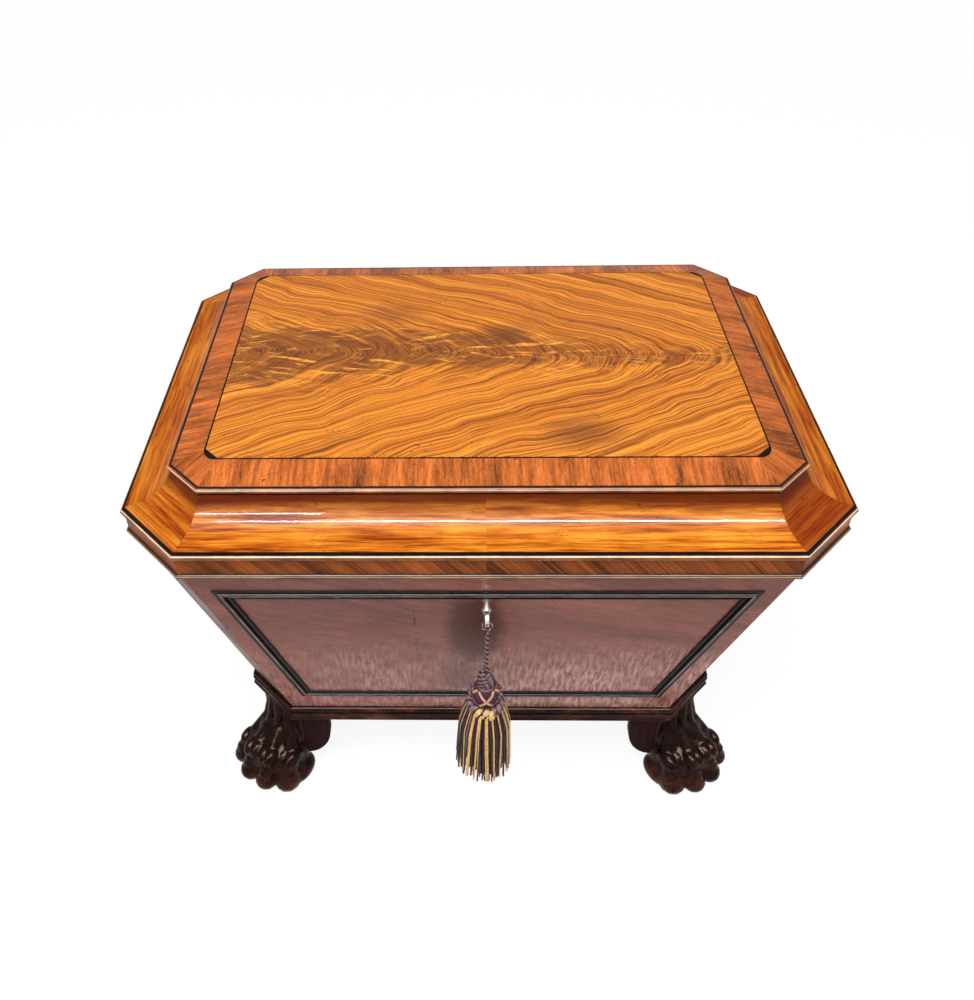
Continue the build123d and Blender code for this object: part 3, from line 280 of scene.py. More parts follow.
class Finish(Nodes):
    """A material of the chest."""

    def __init__(self, name):
        self.material = bpy.data.materials.new(name)
        self.material.use_nodes = True
        super().__init__(self.material.node_tree)
        self.surface = self.nodes["Principled BSDF"]
        self.place = self.value("ShaderNodeTexCoord", output="Object")

    def set(self, **sockets):
        """Sets the shader's own sockets, with an underscore for each space in a name."""
        for name, value in sockets.items():
            self.put(self.surface.inputs[name.replace("_", " ")], value)

    def polish(self, roughness, gloss):
        """Old shellac polish over wood; gloss is how much it mirrors."""
        self.set(Roughness=roughness, Specular_IOR_Level=gloss)

    def split(self, vector):
        """The three numbers of a vector."""
        return [Value(self, part) for part in self.node("ShaderNodeSeparateXYZ", {0: vector}).outputs]

    def axes(self, middle):
        """Distances along X, Y and Z from a middle."""
        moved = self.value("ShaderNodeVectorMath", {0: self.place, 1: middle}, operation="SUBTRACT")
        return self.split(moved)

    def facing(self):
        """How far the surface faces along X, Y and Z."""
        return self.split(self.value("ShaderNodeTexCoord", output="Normal"))

    def vector(self, x, y, z):
        """Joins three numbers into one vector."""
        return self.value("ShaderNodeCombineXYZ", {0: x, 1: y, 2: z})

    def drawn_out(self, scale):
        """Places with each axis scaled; a pattern on them is long where the scale is small."""
        return self.value("ShaderNodeMapping", {"Vector": self.place, "Scale": scale})

    def choose(self, factor, first, second):
        """The first number where the factor is 0, and the second where it is 1."""
        return self.value("ShaderNodeMix", {0: factor, 2: first, 3: second})

    def distance(self, across, up):
        """Straight distance from two distances that are square to each other."""
        return self.math("SQRT", across * across + up * up)

    def noise(self, vector, scale, detail=4.0, roughness=0.55, distortion=0.0):
        """Pattern from 0 to 1: patches to the metre, layers of finer ones, their strength and their swirl."""
        inputs = {
            "Vector": vector,
            "Scale": scale,
            "Detail": detail,
            "Roughness": roughness,
            "Distortion": distortion,
        }
        return self.value("ShaderNodeTexNoise", inputs)

    def cloud(self, scale, *shape):
        """Pattern from 0 to 1 that is even in every direction."""
        return self.noise(self.place, scale, *shape)

    def ramp(self, value, *stops):
        """Colours a value by stops, each a place from 0 to 1 and a colour."""
        node = self.node("ShaderNodeValToRGB", {0: value})
        elements = node.color_ramp.elements
        while len(elements) < len(stops):
            elements.new(1.0)
        for element, (spot, tint) in zip(elements, stops):
            element.position = spot
            element.color = (*tint[:3], 1)
        return Value(self, node.outputs[0])

    def mix(self, factor, first, second):
        """Mixes two colours."""
        return self.value("ShaderNodeMix", {0: factor, 6: first, 7: second}, 2, data_type="RGBA")

    def bump(self, height, distance):
        """Raises the surface by a height from 0 to 1 times a distance."""
        self.set(Normal=self.value("ShaderNodeBump", {"Height": height, "Distance": distance}))

    def sides(self):
        """Place along the lid's nearest side, distance outwards, side number, and 1 on a cant."""
        x, y, _ = self.axes(LID_MIDDLE)
        far_x = abs(x)
        far_y = abs(y)
        past_end = far_x - LID_HALF.x
        past_front = far_y - LID_HALF.y
        corner = (LID_HALF.x + LID_HALF.y - LID_CANT) / sqrt(2)
        past_cant = (far_x + far_y) * (1 / sqrt(2)) - corner
        straight = self.math("MAXIMUM", past_end, past_front)
        on_end = past_end > past_front
        on_cant = past_cant > straight
        along = self.choose(on_cant, self.choose(on_end, x, y), (far_x - far_y) * (1 / sqrt(2)))
        outwards = self.math("MAXIMUM", straight, past_cant)
        # Each canted corner is one piece, so its two halves share a number
        end_only = on_end - on_cant > 0.5
        number = end_only * 3.1 + on_cant * 7.3 + (y > 0.0) * 1.7 + (x > 0.0) * 0.6
        return along, outwards, number, on_cant

    def marks(self, amount):
        """Small dark dents and scratches, 0 where the surface is sound and 1 in a mark."""
        stretched = self.drawn_out((1.0, 2.6, 1.6))
        dots = self.node("ShaderNodeTexVoronoi", {"Vector": stretched, "Scale": 62.0}, feature="F1").outputs
        seldom = Value(self, dots["Color"]) > 0.55
        dot = Value(self, dots["Distance"]).remap(0.045, 0.10, 1.0, 0.0) * seldom
        lines = self.noise(stretched, 19.0, 1.0, 0.5, 2.5)
        broken = self.cloud(35.0, 2.0) > 0.635
        line = abs(lines - 0.5).remap(0.004, 0.011, 1.0, 0.0) * broken
        return self.math("MAXIMUM", dot, line) * amount


def dimmed(tint, *shares):
    """A darker or paler copy of a colour, by one share or by one for each channel."""
    return tuple(channel * share for channel, share in zip(tint, shares if len(shares) == 3 else shares * 3))


def flame_veneer(timber):
    """Crotch figure: plumes that sweep in to a dark feather along the middle."""
    finish = Finish("flame veneer")
    x, y, _ = finish.axes(LID_MIDDLE)
    wander = finish.cloud(5.0, 3.0, 0.6) - 0.5
    drift = finish.cloud(14.0, 1.0, 0.5) - 0.5
    shifted = wander * 0.050 + y
    half = finish.math("SIGN", shifted)
    away = abs(shifted)
    # A streak runs straight out at a slant, and hooks over as it nears the feather
    bend = 0.030
    hook = finish.math("SQRT", away * away + bend * bend)
    flow = drift * 0.060 + (x + hook * 2.2)
    run = x * 0.35 + away
    long_place = finish.vector(flow, run * 0.045, half)
    short_place = finish.vector(flow, run * 0.40, half)
    broad = finish.noise(long_place, 26.0, 2.0, 0.5, 0.1)
    fine = finish.noise(long_place, 150.0, 4.0, 0.70)
    hair = finish.noise(finish.vector(flow, run * 0.09, half), 420.0, 3.0, 0.7)
    tone = broad.sharp(2.8) * 0.24 + fine.sharp(3.4) * 0.38 + hair.sharp(4.2) * 0.39
    wood = finish.ramp(
        tone,
        (0.20, (0.20, 0.042, 0.010)),
        (0.40, (0.42, 0.108, 0.010)),
        (0.56, dimmed(timber.flame_middle, 1.12)),
        (0.84, timber.flame_light),
    )
    # The dark feather is widest at the left, and its edges are torn along its length
    width = x.remap(-0.27, 0.20, 0.078, 0.020)
    along_place = finish.vector(x * 0.11, x * -0.16 + away, half)
    torn = finish.noise(along_place, 75.0, 4.0, 0.7, 0.4)
    scalloped = finish.noise(short_place, 32.0, 5.0, 0.7, 0.3)
    ragged = (torn.sharp(2.4) - 0.5) * 0.7 + (scalloped.sharp(2.2) - 0.5) * 1.3
    feather = (ragged + away / width).remap(0.45, 0.85, 1.0, 0.0) * x.remap(-0.05, 0.24, 0.74, 0.40)
    lines = finish.mix(hair.sharp(2.6), dimmed(timber.flame_dark, 0.65), dimmed(timber.flame_dark, 2.1))
    wood = finish.mix(feather, wood, lines)
    # Pale shards lie along the feather
    shards = finish.noise(along_place, 165.0, 4.0, 0.72, 0.3).remap(0.545, 0.61, 0.0, 0.95)
    clumps = finish.cloud(21.0, 2.0, 0.5).remap(0.40, 0.56)
    near = (away / width).remap(0.6, 1.4, 1.0, 0.0) * clumps
    wood = finish.mix(shards * near, wood, timber.flame_light)
    # Darker swirls stand clear of the feather
    for spot_x, spot_y, reach, depth in SWIRLS:
        far = (fine - 0.5) * 0.050 + finish.distance((x - spot_x) * 0.62, y - spot_y)
        wood = finish.mix(far.remap(reach * 0.3, reach, depth, 0.0), wood, dimmed(timber.flame_dark, 1.5))
    pores = finish.noise(finish.vector(flow, run * 0.20, half), 560.0, 2.0, 0.6)
    wood = finish.mix(pores.remap(0.57, 0.66, 0.0, 0.80), wood, dimmed(timber.flame_dark, 1.1))
    marks = finish.marks(0.85)
    finish.set(Base_Color=finish.mix(marks, wood, (0.04, 0.010, 0.004)))
    finish.bump(pores * 0.3 - marks, 0.00018)
    finish.polish(0.36, 0.12)
    return finish.material


def banded_veneer(name, tint, spread, diagonal=0.0, reach=0.24):
    """Crossbanding: the grain runs square to the edge, in leaves of slightly different tone."""
    finish = Finish(name)
    along, outwards, number, on_cant = finish.sides()
    _, _, z = finish.axes(LID_MIDDLE)
    along = along + (z - outwards) * diagonal
    leaves = finish.noise(finish.vector(along, number, 0.0), spread, 2.0, 0.5)
    stripes = finish.noise(finish.vector(along, outwards * 0.10, number), 260.0, 5.0, 0.75, 0.15)
    flecks = finish.noise(finish.vector(along, outwards * 0.2, number), 1100.0, 3.0, 0.7)
    cloud = finish.cloud(13.0, 3.0, 0.6)
    tone = leaves.sharp(2.6) * 0.32 + stripes.sharp(3.2) * 0.36 + flecks.sharp(3.2) * 0.16
    tone = tone + cloud.sharp(2.2) * 0.16
    wood = finish.ramp(
        tone, (0.50 - reach, dimmed(tint, 0.28)), (0.50, tint), (0.50 + reach, dimmed(tint, 1.75))
    )
    wood = finish.mix(on_cant * 0.30, wood, dimmed(tint, 0.5))
    marks = finish.marks(0.8)
    finish.set(Base_Color=finish.mix(marks, wood, SCAR))
    finish.bump(stripes * 0.35 - marks, 0.00018)
    finish.polish(0.38, 0.07)
    return finish.material


def cavetto_mahogany(timber):
    """Glossy hollow moulding with its grain lengthwise, with painted shade on its ends and darker short
    corner lengths, and painted shade at the top of the hollow.
    """
    finish = Finish("cavetto mahogany")
    tint = timber.cavetto
    x, y, z = finish.axes(LID_MIDDLE)
    along, outwards, number, on_cant = finish.sides()
    grain = finish.vector(along * 0.05, outwards, number)
    broad = finish.noise(grain, 120.0, 3.0, 0.6, 0.3)
    fine = finish.noise(grain, 420.0, 4.0, 0.7)
    cloud = finish.cloud(9.0, 3.0, 0.6)
    tone = broad.sharp(2.4) * 0.42 + fine.sharp(2.6) * 0.38 + cloud.sharp(2.0) * 0.20
    wood = finish.ramp(
        tone, (0.28, dimmed(tint, 0.36, 0.17, 0.20)), (0.50, tint), (0.72, dimmed(tint, 1.50, 2.2, 4.0))
    )
    # The ends and the canted corners lie in shade, the right corners most
    dim = on_cant * (x > 0.0) * 0.42 + on_cant * 0.32
    end = abs(x).remap(LID_HALF.x - 0.065, LID_HALF.x - 0.050, 0.0, 0.36)
    wood = finish.mix(finish.math("MAXIMUM", dim, end), wood, dimmed(tint, 0.34, 0.12, 0.10))
    # Painted shade darkens the top of the hollow, under the raised panel's bead
    top_shade_waver = finish.noise(grain, 140.0, 3.0, 0.7)
    painted_top_shade = (top_shade_waver * 0.016 + z).remap(0.020, 0.034, 0.0, 0.95)
    wood = finish.mix(painted_top_shade, wood, dimmed(tint, 0.16, 0.07, 0.10))
    marks = finish.marks(0.7)
    wood = finish.mix(marks, wood, SCAR)
    # Faces that look inwards or down, under the lid, are bare timber
    facing = finish.facing()
    outwards_face = facing[2] * 0.10 + (facing[0] * x + facing[1] * y)
    bare = finish.mix(fine, dimmed(BARE_TIMBER, 0.6), dimmed(BARE_TIMBER, 1.4))
    finish.set(Base_Color=finish.mix(outwards_face < -0.01, wood, bare))
    finish.bump(fine * 0.25 - marks, 0.00015)
    finish.polish(0.36, 0.03)
    finish.set(Coat_Weight=0.08, Coat_Roughness=0.05, Coat_IOR=1.5)
    return finish.material


def carcase_mahogany(name, tint, gloss):
    """Dark sides whose old polish ripples, with painted reflections on their lower half and painted shadows
    by the key and the tassel.
    """
    finish = Finish(name)
    x, y, z = finish.axes(LID_MIDDLE)
    on_end = abs(finish.facing()[0]) > 0.5
    along = finish.choose(on_end, x, y)
    grain = finish.vector(along * 0.22, along * 0.32 + z, on_end)
    broad = finish.noise(grain, 14.0, 4.0, 0.6, 0.8)
    fine = finish.noise(grain, 160.0, 4.0, 0.7)
    tone = broad.sharp(1.7) * 0.6 + fine.sharp(1.9) * 0.4
    wood = finish.ramp(tone, (0.20, dimmed(tint, 0.50)), (0.50, tint), (0.80, dimmed(tint, 1.65)))
    # Painted reflection: pale ripple glints on the lower half of each side stand in for the bright floor
    # mirrored in the polish
    ripple = finish.noise(finish.vector(along, z * 0.16, on_end), 260.0, 3.0, 0.62, 0.25)
    hazy = finish.cloud(11.0, 3.0, 0.6)
    low = z.remap(-0.25, -0.16, 1.0, 0.0) * x.remap(-0.25, 0.05, 0.5, 1.0) * hazy.remap(0.35, 0.60, 0.35, 1.0)
    glints = ripple.remap(0.40, 0.62, 0.05, 0.95) * low
    wood = finish.mix(glints, wood, dimmed(tint, 2.9, 5.8, 7.6))
    # Painted shadows: dark patches on the front where the key and the swinging tassel throw shade
    front = y < FRONT_Y
    shadow_patch_waver = finish.cloud(45.0, 3.0) * 0.022
    for spot_x, drop, reach, depth in PAINTED_SHADOW_PATCHES:
        far = shadow_patch_waver + finish.distance(x - (KEY_X + spot_x), (z - (RIM - drop)) * 0.45)
        painted_shadow = far.remap(reach, reach + 0.012, depth, 0.0) * front
        wood = finish.mix(painted_shadow, wood, dimmed(tint, 0.24, 0.13, 0.13))
    # A short crack, broken into dashes, stands left of the key
    waver = (finish.cloud(60.0, 2.0) - 0.5) * 0.004
    crack = (waver + abs(x - CRACK_X)).remap(0.0006, 0.0012, 0.8, 0.0) * front
    crack = crack * (finish.cloud(130.0, 1.0) > 0.50)
    crack = crack * (abs(z - (RIM - CRACK_DROP)) < CRACK_HALF)
    marks = finish.math("MAXIMUM", finish.marks(0.6), crack)
    finish.set(Base_Color=finish.mix(marks, wood, (0.012, 0.005, 0.004)))
    finish.bump(ripple - marks, 0.0004)
    finish.polish(hazy.remap(0.35, 0.65, 0.22, 0.36), gloss)
    return finish.material


def ebonised(name, crest_highlight):
    """Black polished wood; crest_highlight paints pale highlight lines along the crests of a planted
    moulding.
    """
    finish = Finish(name)
    x, y, z = finish.axes((0, LID_MIDDLE.y, RIM_HEIGHT))
    out_front = abs(y) - (LID_HALF.y - LID_OVERHANG)
    out_end = abs(x) - (LID_HALF.x - LID_OVERHANG)
    height = finish.math("MAXIMUM", out_front, out_end) * cos(FRONT_SLOPE) - z * sin(FRONT_SLOPE)
    patchy = finish.cloud(30.0, 3.0, 0.6).remap(0.35, 0.60, 0.35, 1.0)
    # Painted highlight: pale lines along the crests where the moulding stands proud
    painted_crest_highlight = height.remap(0.0031, 0.0035, 0.0, crest_highlight) * patchy
    rubbed = finish.cloud(60.0, 4.0, 0.7).remap(0.52, 0.72, 0.0, 0.5)
    black = finish.mix(rubbed, (0.004, 0.0025, 0.0025), (0.030, 0.011, 0.008))
    finish.set(Base_Color=finish.mix(painted_crest_highlight, black, (0.42, 0.27, 0.19)))
    finish.bump(finish.cloud(420.0, 3.0), 0.00012)
    finish.polish(0.30, 0.10)
    return finish.material


def bead_wood(name, tint, worn, top):
    """Bead with a painted highlight along a line on its upper side, in the colour of rubbed bare wood, and
    painted shade in its quirks.
    """
    finish = Finish(name)
    along, outwards, number, _ = finish.sides()
    streaks = finish.noise(finish.vector(along * 0.06, outwards, number), 240.0, 4.0, 0.7)
    patches = finish.cloud(24.0, 4.0, 0.7, 0.5)
    tone = streaks * 0.4 + patches * 0.6
    wood = finish.ramp(tone, (0.36, dimmed(tint, 0.35)), (0.48, tint), (0.62, dimmed(tint, 1.7)))
    up = finish.facing()[2]
    # Painted highlight: the upper side of the bead, where its facing is near top, is laid in the pale worn
    # colour
    painted_bead_highlight = (patches * -0.22 + abs(up - top)).remap(-0.04, 0.08, 0.95, 0.0)
    # Painted shade: the quirks above and below the bead are darkened
    painted_quirk_shade = abs(up).remap(0.86, 0.97, 0.0, 0.95)
    finish.set(Base_Color=finish.mix(painted_quirk_shade, finish.mix(painted_bead_highlight, wood, worn), (0.010, 0.004, 0.003)))
    finish.bump(streaks, 0.00014)
    finish.polish(0.32, 0.12)
    return finish.material


def base_wood():
    """Dark red-brown base moulding, in paler and darker streaks and patches."""
    finish = Finish("base moulding")
    streaks = finish.noise(finish.drawn_out((0.1, 0.1, 1.0)), 420.0, 4.0, 0.7)
    patches = finish.cloud(18.0, 4.0, 0.65)
    tone = streaks * 0.5 + patches * 0.5
    wood = finish.ramp(
        tone, (0.36, (0.006, 0.002, 0.002)), (0.52, (0.028, 0.008, 0.0055)), (0.66, (0.13, 0.042, 0.026))
    )
    finish.set(Base_Color=wood)
    finish.bump(streaks, 0.00012)
    finish.polish(0.26, 0.05)
    return finish.material


def plain_timber(name, tint, stretch, gloss):
    """Sawn and planed timber; stretch is small along the grain."""
    finish = Finish(name)
    grain = finish.drawn_out(stretch)
    rings = finish.noise(grain, 30.0, 4.0, 0.6, 1.0)
    fine = finish.noise(grain, 340.0, 4.0, 0.7)
    tone = rings * 0.6 + fine * 0.4
    wood = finish.ramp(tone, (0.35, dimmed(tint, 0.5)), (0.52, tint), (0.68, dimmed(tint, 1.5)))
    finish.set(Base_Color=wood)
    finish.bump(fine, 0.0002)
    finish.polish(0.62, gloss)
    return finish.material


def metal(name, tint, stain, roughness):
    """Old metal with tarnish, worn bright in places."""
    finish = Finish(name)
    cloud = finish.cloud(90.0, 5.0, 0.7)
    finish.set(
        Base_Color=finish.mix(cloud.remap(0.40, 0.66, 0.0, 0.85), tint, stain),
        Metallic=1.0,
        Roughness=cloud.remap(0.35, 0.7, roughness, roughness + 0.22),
    )
    finish.bump(finish.cloud(900.0, 3.0, 0.6), 0.00008)
    return finish.material


def carved_wood():
    """Near-black carving, rubbed red-brown on its high places, which also stands in for their highlights,
    with painted shade in its hollows.
    """
    finish = Finish("carved foot")
    _, _, z = finish.split(finish.place)
    high = finish.value("ShaderNodeNewGeometry", output="Pointiness")
    grain = finish.noise(finish.drawn_out((1.0, 1.0, 0.25)), 230.0, 4.0, 0.7)
    patches = finish.cloud(34.0, 4.0, 0.65)
    # The crests are rubbed red-brown; this is partly wear and partly a painted highlight on the knuckles
    crests = high.remap(0.515, 0.59) * patches.remap(0.38, 0.62, 0.15, 1.0)
    toes = z.remap(0.010, 0.045, 0.60, 0.0) * patches.remap(0.42, 0.6)
    specks = finish.cloud(520.0, 2.0, 0.6).remap(0.42, 0.60, 0.25, 1.0)
    rubbed = finish.math("MAXIMUM", crests, toes) * specks
    ground = finish.ramp(grain, (0.35, (0.004, 0.002, 0.002)), (0.65, (0.018, 0.007, 0.006)))
    wood = finish.mix(rubbed, ground, (0.21, 0.058, 0.030))
    # Painted shade: the hollows of the carving are darkened
    hollow = high.remap(0.42, 0.49, 0.85, 0.0)
    finish.set(
        Base_Color=finish.mix(hollow, wood, (0.003, 0.002, 0.002)),
        Specular_Tint=(1.0, 0.66, 0.52),
    )
    finish.bump(grain, 0.0003)
    finish.polish(0.27, 0.075)
    return finish.material


def thread(name, tint):
    """Silky twisted thread."""
    finish = Finish(name)
    tufts = finish.cloud(700.0, 3.0, 0.7)
    patches = finish.cloud(160.0, 3.0, 0.6)
    lit = finish.mix(patches, dimmed(tint, 0.8), dimmed(tint, 1.6))
    finish.set(Base_Color=finish.mix(tufts.remap(0.3, 0.7), dimmed(tint, 0.35), lit))
    finish.bump(tufts, 0.0004)
    finish.polish(0.55, 0.2)
    return finish.material


def white_floor():
    """Floor that looks white but keeps the chest's shadow."""
    finish = Finish("floor")
    finish.set(Base_Color=dimmed(WHITE, 0.95), Roughness=0.9, Specular_IOR_Level=0.0)
    seen = finish.light_path("Is Camera Ray", "Is Glossy Ray", "Is Transmission Ray")
    glow_strength, glow_share = 1.06, 0.84
    glow = finish.value("ShaderNodeEmission", {"Color": WHITE, "Strength": glow_strength})
    shaded = Value(finish, finish.surface.outputs[0])
    blend = finish.value("ShaderNodeMixShader", {0: seen * glow_share, 1: shaded, 2: glow})
    finish.put(finish.nodes["Material Output"].inputs[0], blend)
    return finish.material


# Shapes


def placed(name, data):
    """Puts new data in the scene as an object."""
    item = bpy.data.objects.new(name, data)
    bpy.context.scene.collection.objects.link(item)
    return item


def mesh_from(name, bm):
    """Turns a bmesh into a mesh."""
    mesh = bpy.data.meshes.new(name)
    bm.to_mesh(mesh)
    bm.free()
    return mesh


def piece_with(name, data, body):
    """Places a mesh or curve as a piece that rides on a body."""
    piece = placed(name, data)
    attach(piece, body)
    return piece


def piece_from(name, bm, material, body):
    """Turns a bmesh into a smooth piece that rides on a body."""
    mesh = mesh_from(name, bm)
    mesh.polygons.foreach_set("use_smooth", [True] * len(mesh.polygons))
    mesh.materials.append(material)
    return piece_with(name, mesh, body)


def lump(bm, place, size):
    """Adds an egg-shaped lump of given half sizes."""
    matrix = Matrix.Translation(place) @ Matrix.Diagonal((*size, 1))
    bmesh.ops.create_icosphere(bm, subdivisions=3 if max(size) > 0.02 else 2, radius=1.0, matrix=matrix)


def limb(bm, start, end, start_radius, end_radius):
    """Adds a tapering round-ended rod as overlapping lumps."""
    start, end = Vector(start), Vector(end)
    steps = max(2, int((end - start).length / (0.7 * min(start_radius, end_radius))))
    for step in range(steps + 1):
        share = step / steps
        radius = start_radius + (end_radius - start_radius) * share
        lump(bm, start.lerp(end, share), (radius, radius, radius))


def tubes(name, runs, materials, body, roundness=3, as_mesh=False):
    """Round tubes along runs of points; each run is its points, their radius and a material number."""
    curve = bpy.data.curves.new(name, "CURVE")
    curve.dimensions = "3D"
    curve.bevel_depth = 1.0
    curve.bevel_resolution = roundness
    curve.use_fill_caps = True
    for material in materials:
        curve.materials.append(material)
    for points, radius, number in runs:
        spline = curve.splines.new("POLY")
        spline.points.add(len(points) - 1)
        for knot, point in zip(spline.points, points):
            knot.co = (*point, 1.0)
            knot.radius = radius
        spline.material_index = number
        spline.use_smooth = True
    return piece_with(name, mesh_along(name, curve) if as_mesh else curve, body)


def mesh_along(name, curve):
    """Turns a curve into a mesh."""
    holder = bpy.data.objects.new(name + "_line", curve)
    mesh = bpy.data.meshes.new_from_object(holder)
    bpy.data.objects.remove(holder)
    mesh.name = name
    return mesh


def twist(points, strands, radius, turns):
    """Runs of points for strands that twist round a line of points."""
    last = len(points) - 1
    runs = []
    for strand in range(strands):
        run = []
        for i, point in enumerate(points):
            heading = (points[min(i + 1, last)] - points[max(i - 1, 0)]).normalized()
            level = Vector((1, 0, 0)) if abs(heading.x) < 0.9 else Vector((0, 1, 0))
            side = heading.cross(level).normalized()
            up = side.cross(heading)
            angle = tau * (turns * i / last + strand / strands)
            run.append(point + (side * cos(angle) + up * sin(angle)) * radius)
        runs.append(run)
    return runs


def ring_twist(middle, major, minor, strands, turns, steps, tilt=None):
    """Runs of points for strands that twist round a ring, closed on themselves."""
    tilt = tilt or Matrix.Identity(3)
    runs = []
    for strand in range(strands):
        run = []
        for i in range(steps + 1):
            around = tau * i / steps
            angle = turns * around + tau * strand / strands
            radius = major + minor * cos(angle)
            spot = Vector((radius * cos(around), radius * sin(around), minor * sin(angle)))
            run.append(middle + tilt @ spot)
        runs.append(run)
    return runs


def strands_of(runs, radius):
    """Runs as pieces of one radius, each with the next material."""
    return [(run, radius, number) for number, run in enumerate(runs)]


def finish_nodes(material, *names):
    """Gives CAD nodes one material."""
    for name in names:
        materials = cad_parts[name].data.materials
        materials.clear()
        materials.append(material)


# Operators


class WINECHEST_OT_stage(bpy.types.Operator):
    """Set the floor, the lights and the camera"""

    bl_idname = "winechest.stage"
    bl_label = "Set Stage"

    def execute(self, context):
        settings = context.scene.winechest_stage
        key, strip = settings.key_power, settings.strip_power
        self.make_floor()
        self.make_sky(context.scene, settings.sky_strength)
        for light in (
            # name, place, target, size and power
            ("key light", (-0.40, -1.00, 2.20), (0.0, 0.0, 0.40), (1.5, 0.9), key),
            ("high strip light", (0.18, -0.88, 1.84), (0.18, -0.23, 0.49), (1.65, 0.05), strip),
            ("low strip light", (-0.62, -1.26, 1.58), (-0.62, -0.23, 0.49), (0.50, 0.04), strip * 0.24),
            ("side light", (1.5, -0.5, 0.9), (0.2, 0.0, 0.25), (0.5, 0.9), key * 0.12),
        ):
            self.add_light(*light)
        self.make_camera(context.scene, settings)
        context.scene.view_settings.view_transform = "Standard"
        return {"FINISHED"}

    def make_floor(self):
        """Wide plain floor."""
        half_width = 7.0
        bm = bmesh.new()
        bmesh.ops.create_grid(bm, x_segments=1, y_segments=1, size=half_width)
        floor = placed("floor", mesh_from("floor", bm))
        floor.data.materials.append(white_floor())

    def make_sky(self, scene, strength):
        """Even light, seen as plain white."""
        scene.world = bpy.data.worlds.new("sky")
        scene.world.use_nodes = True
        sky = Nodes(scene.world.node_tree)
        seen = sky.light_path("Is Camera Ray", "Is Transmission Ray")
        background = sky.nodes["Background"]
        sky.put(background.inputs["Color"], WHITE)
        sky.put(background.inputs["Strength"], seen.remap(0.0, 1.0, strength, 1.0))

    def add_light(self, name, place, target, size, power):
        """Rectangular area light aimed at a target; the strips are seen in the polish alone."""
        data = bpy.data.lights.new(name, "AREA")
        data.shape = "RECTANGLE"
        data.size, data.size_y = size
        data.energy = power
        light = placed(name, data)
        light.visible_diffuse = "strip" not in name
        light.location = place
        light.rotation_euler = (Vector(target) - Vector(place)).to_track_quat("-Z", "Y").to_euler()

    def make_camera(self, scene, settings):
        """Camera at the photograph's place."""
        pitch, yaw, roll = settings.camera_pitch, settings.camera_yaw, settings.camera_roll
        ahead = Vector((sin(yaw) * cos(pitch), cos(yaw) * cos(pitch), -sin(pitch)))
        level_right = Vector((cos(yaw), -sin(yaw), 0))
        level_up = level_right.cross(ahead)
        right = level_right * cos(roll) + level_up * sin(roll)
        up = level_up * cos(roll) - level_right * sin(roll)
        data = bpy.data.cameras.new("camera")
        data.lens = settings.lens
        data.sensor_width = 36.0
        data.shift_x, data.shift_y = settings.shift
        camera = placed("camera", data)
        turn = Matrix((right, up, -ahead)).transposed().to_4x4()
        camera.matrix_world = Matrix.Translation(settings.camera_place) @ turn
        scene.camera = camera


class WINECHEST_OT_timber(bpy.types.Operator):
    """Veneer and polish the carcase and the lid"""

    bl_idname = "winechest.timber"
    bl_label = "Polish Timber"

    def execute(self, context):
        timber = context.scene.winechest_timber
        band, bead, worn, carcase = timber.crossband, timber.bead, timber.worn, timber.carcase
        groundwork = (0.22, 0.115, 0.055)
        partition = (0.20, 0.085, 0.035)
        along_x, along_y = (0.05, 1.0, 1.0), (1.0, 0.05, 1.0)
        finish_nodes(flame_veneer(timber), "field_veneer")
        finish_nodes(banded_veneer("crossband", band, 45.0), "lid_crossband")
        frieze = banded_veneer("frieze crossband", dimmed(band, 0.45), 30.0, 0.9, 0.17)
        finish_nodes(frieze, "frieze_crossband")
        finish_nodes(
            cavetto_mahogany(timber),
            "cavetto_front", "cavetto_back", "cavetto_left", "cavetto_right", "cavetto_cants",
        )
        finish_nodes(
            carcase_mahogany("carcase mahogany", carcase, 0.17),
            "front_board", "back_board", "left_board", "right_board",
        )
        # Painted shade: the canted corners get a darker copy of the carcase colour
        finish_nodes(carcase_mahogany("carcase cants", dimmed(carcase, 0.60), 0.004), "canted_corners")
        finish_nodes(ebonised("ebonised string", 0.0), "field_string", "lid_edge_string")
        finish_nodes(ebonised("ebonised moulding", 0.55), "front_panel_moulding", "end_panel_mouldings")
        finish_nodes(bead_wood("top bead", bead, worn, 0.42), "top_bead")
        finish_nodes(bead_wood("edge bead", dimmed(bead, 0.85), worn, 0.72), "lid_edge_bead")
        finish_nodes(bead_wood("rim bead", dimmed(bead, 0.40), dimmed(worn, 0.66), 0.30), "rim_bead")
        finish_nodes(base_wood(), "base_moulding")
        finish_nodes(
            plain_timber("groundwork", groundwork, (0.06, 1.0, 1.0), 0.3),
            "lid_top_board", "lid_frame_front", "lid_frame_back", "bottom_board", "foot_dowels",
        )
        finish_nodes(
            plain_timber("cross groundwork", (0.21, 0.11, 0.052), (1.0, 0.06, 1.0), 0.3),
            "lid_frame_ends", "lid_frame_cants",
        )
        finish_nodes(plain_timber("cross division", partition, along_y, 0.45), "cross_divisions")
        finish_nodes(plain_timber("long division", partition, along_x, 0.45), "long_divisions")
        return {"FINISHED"}


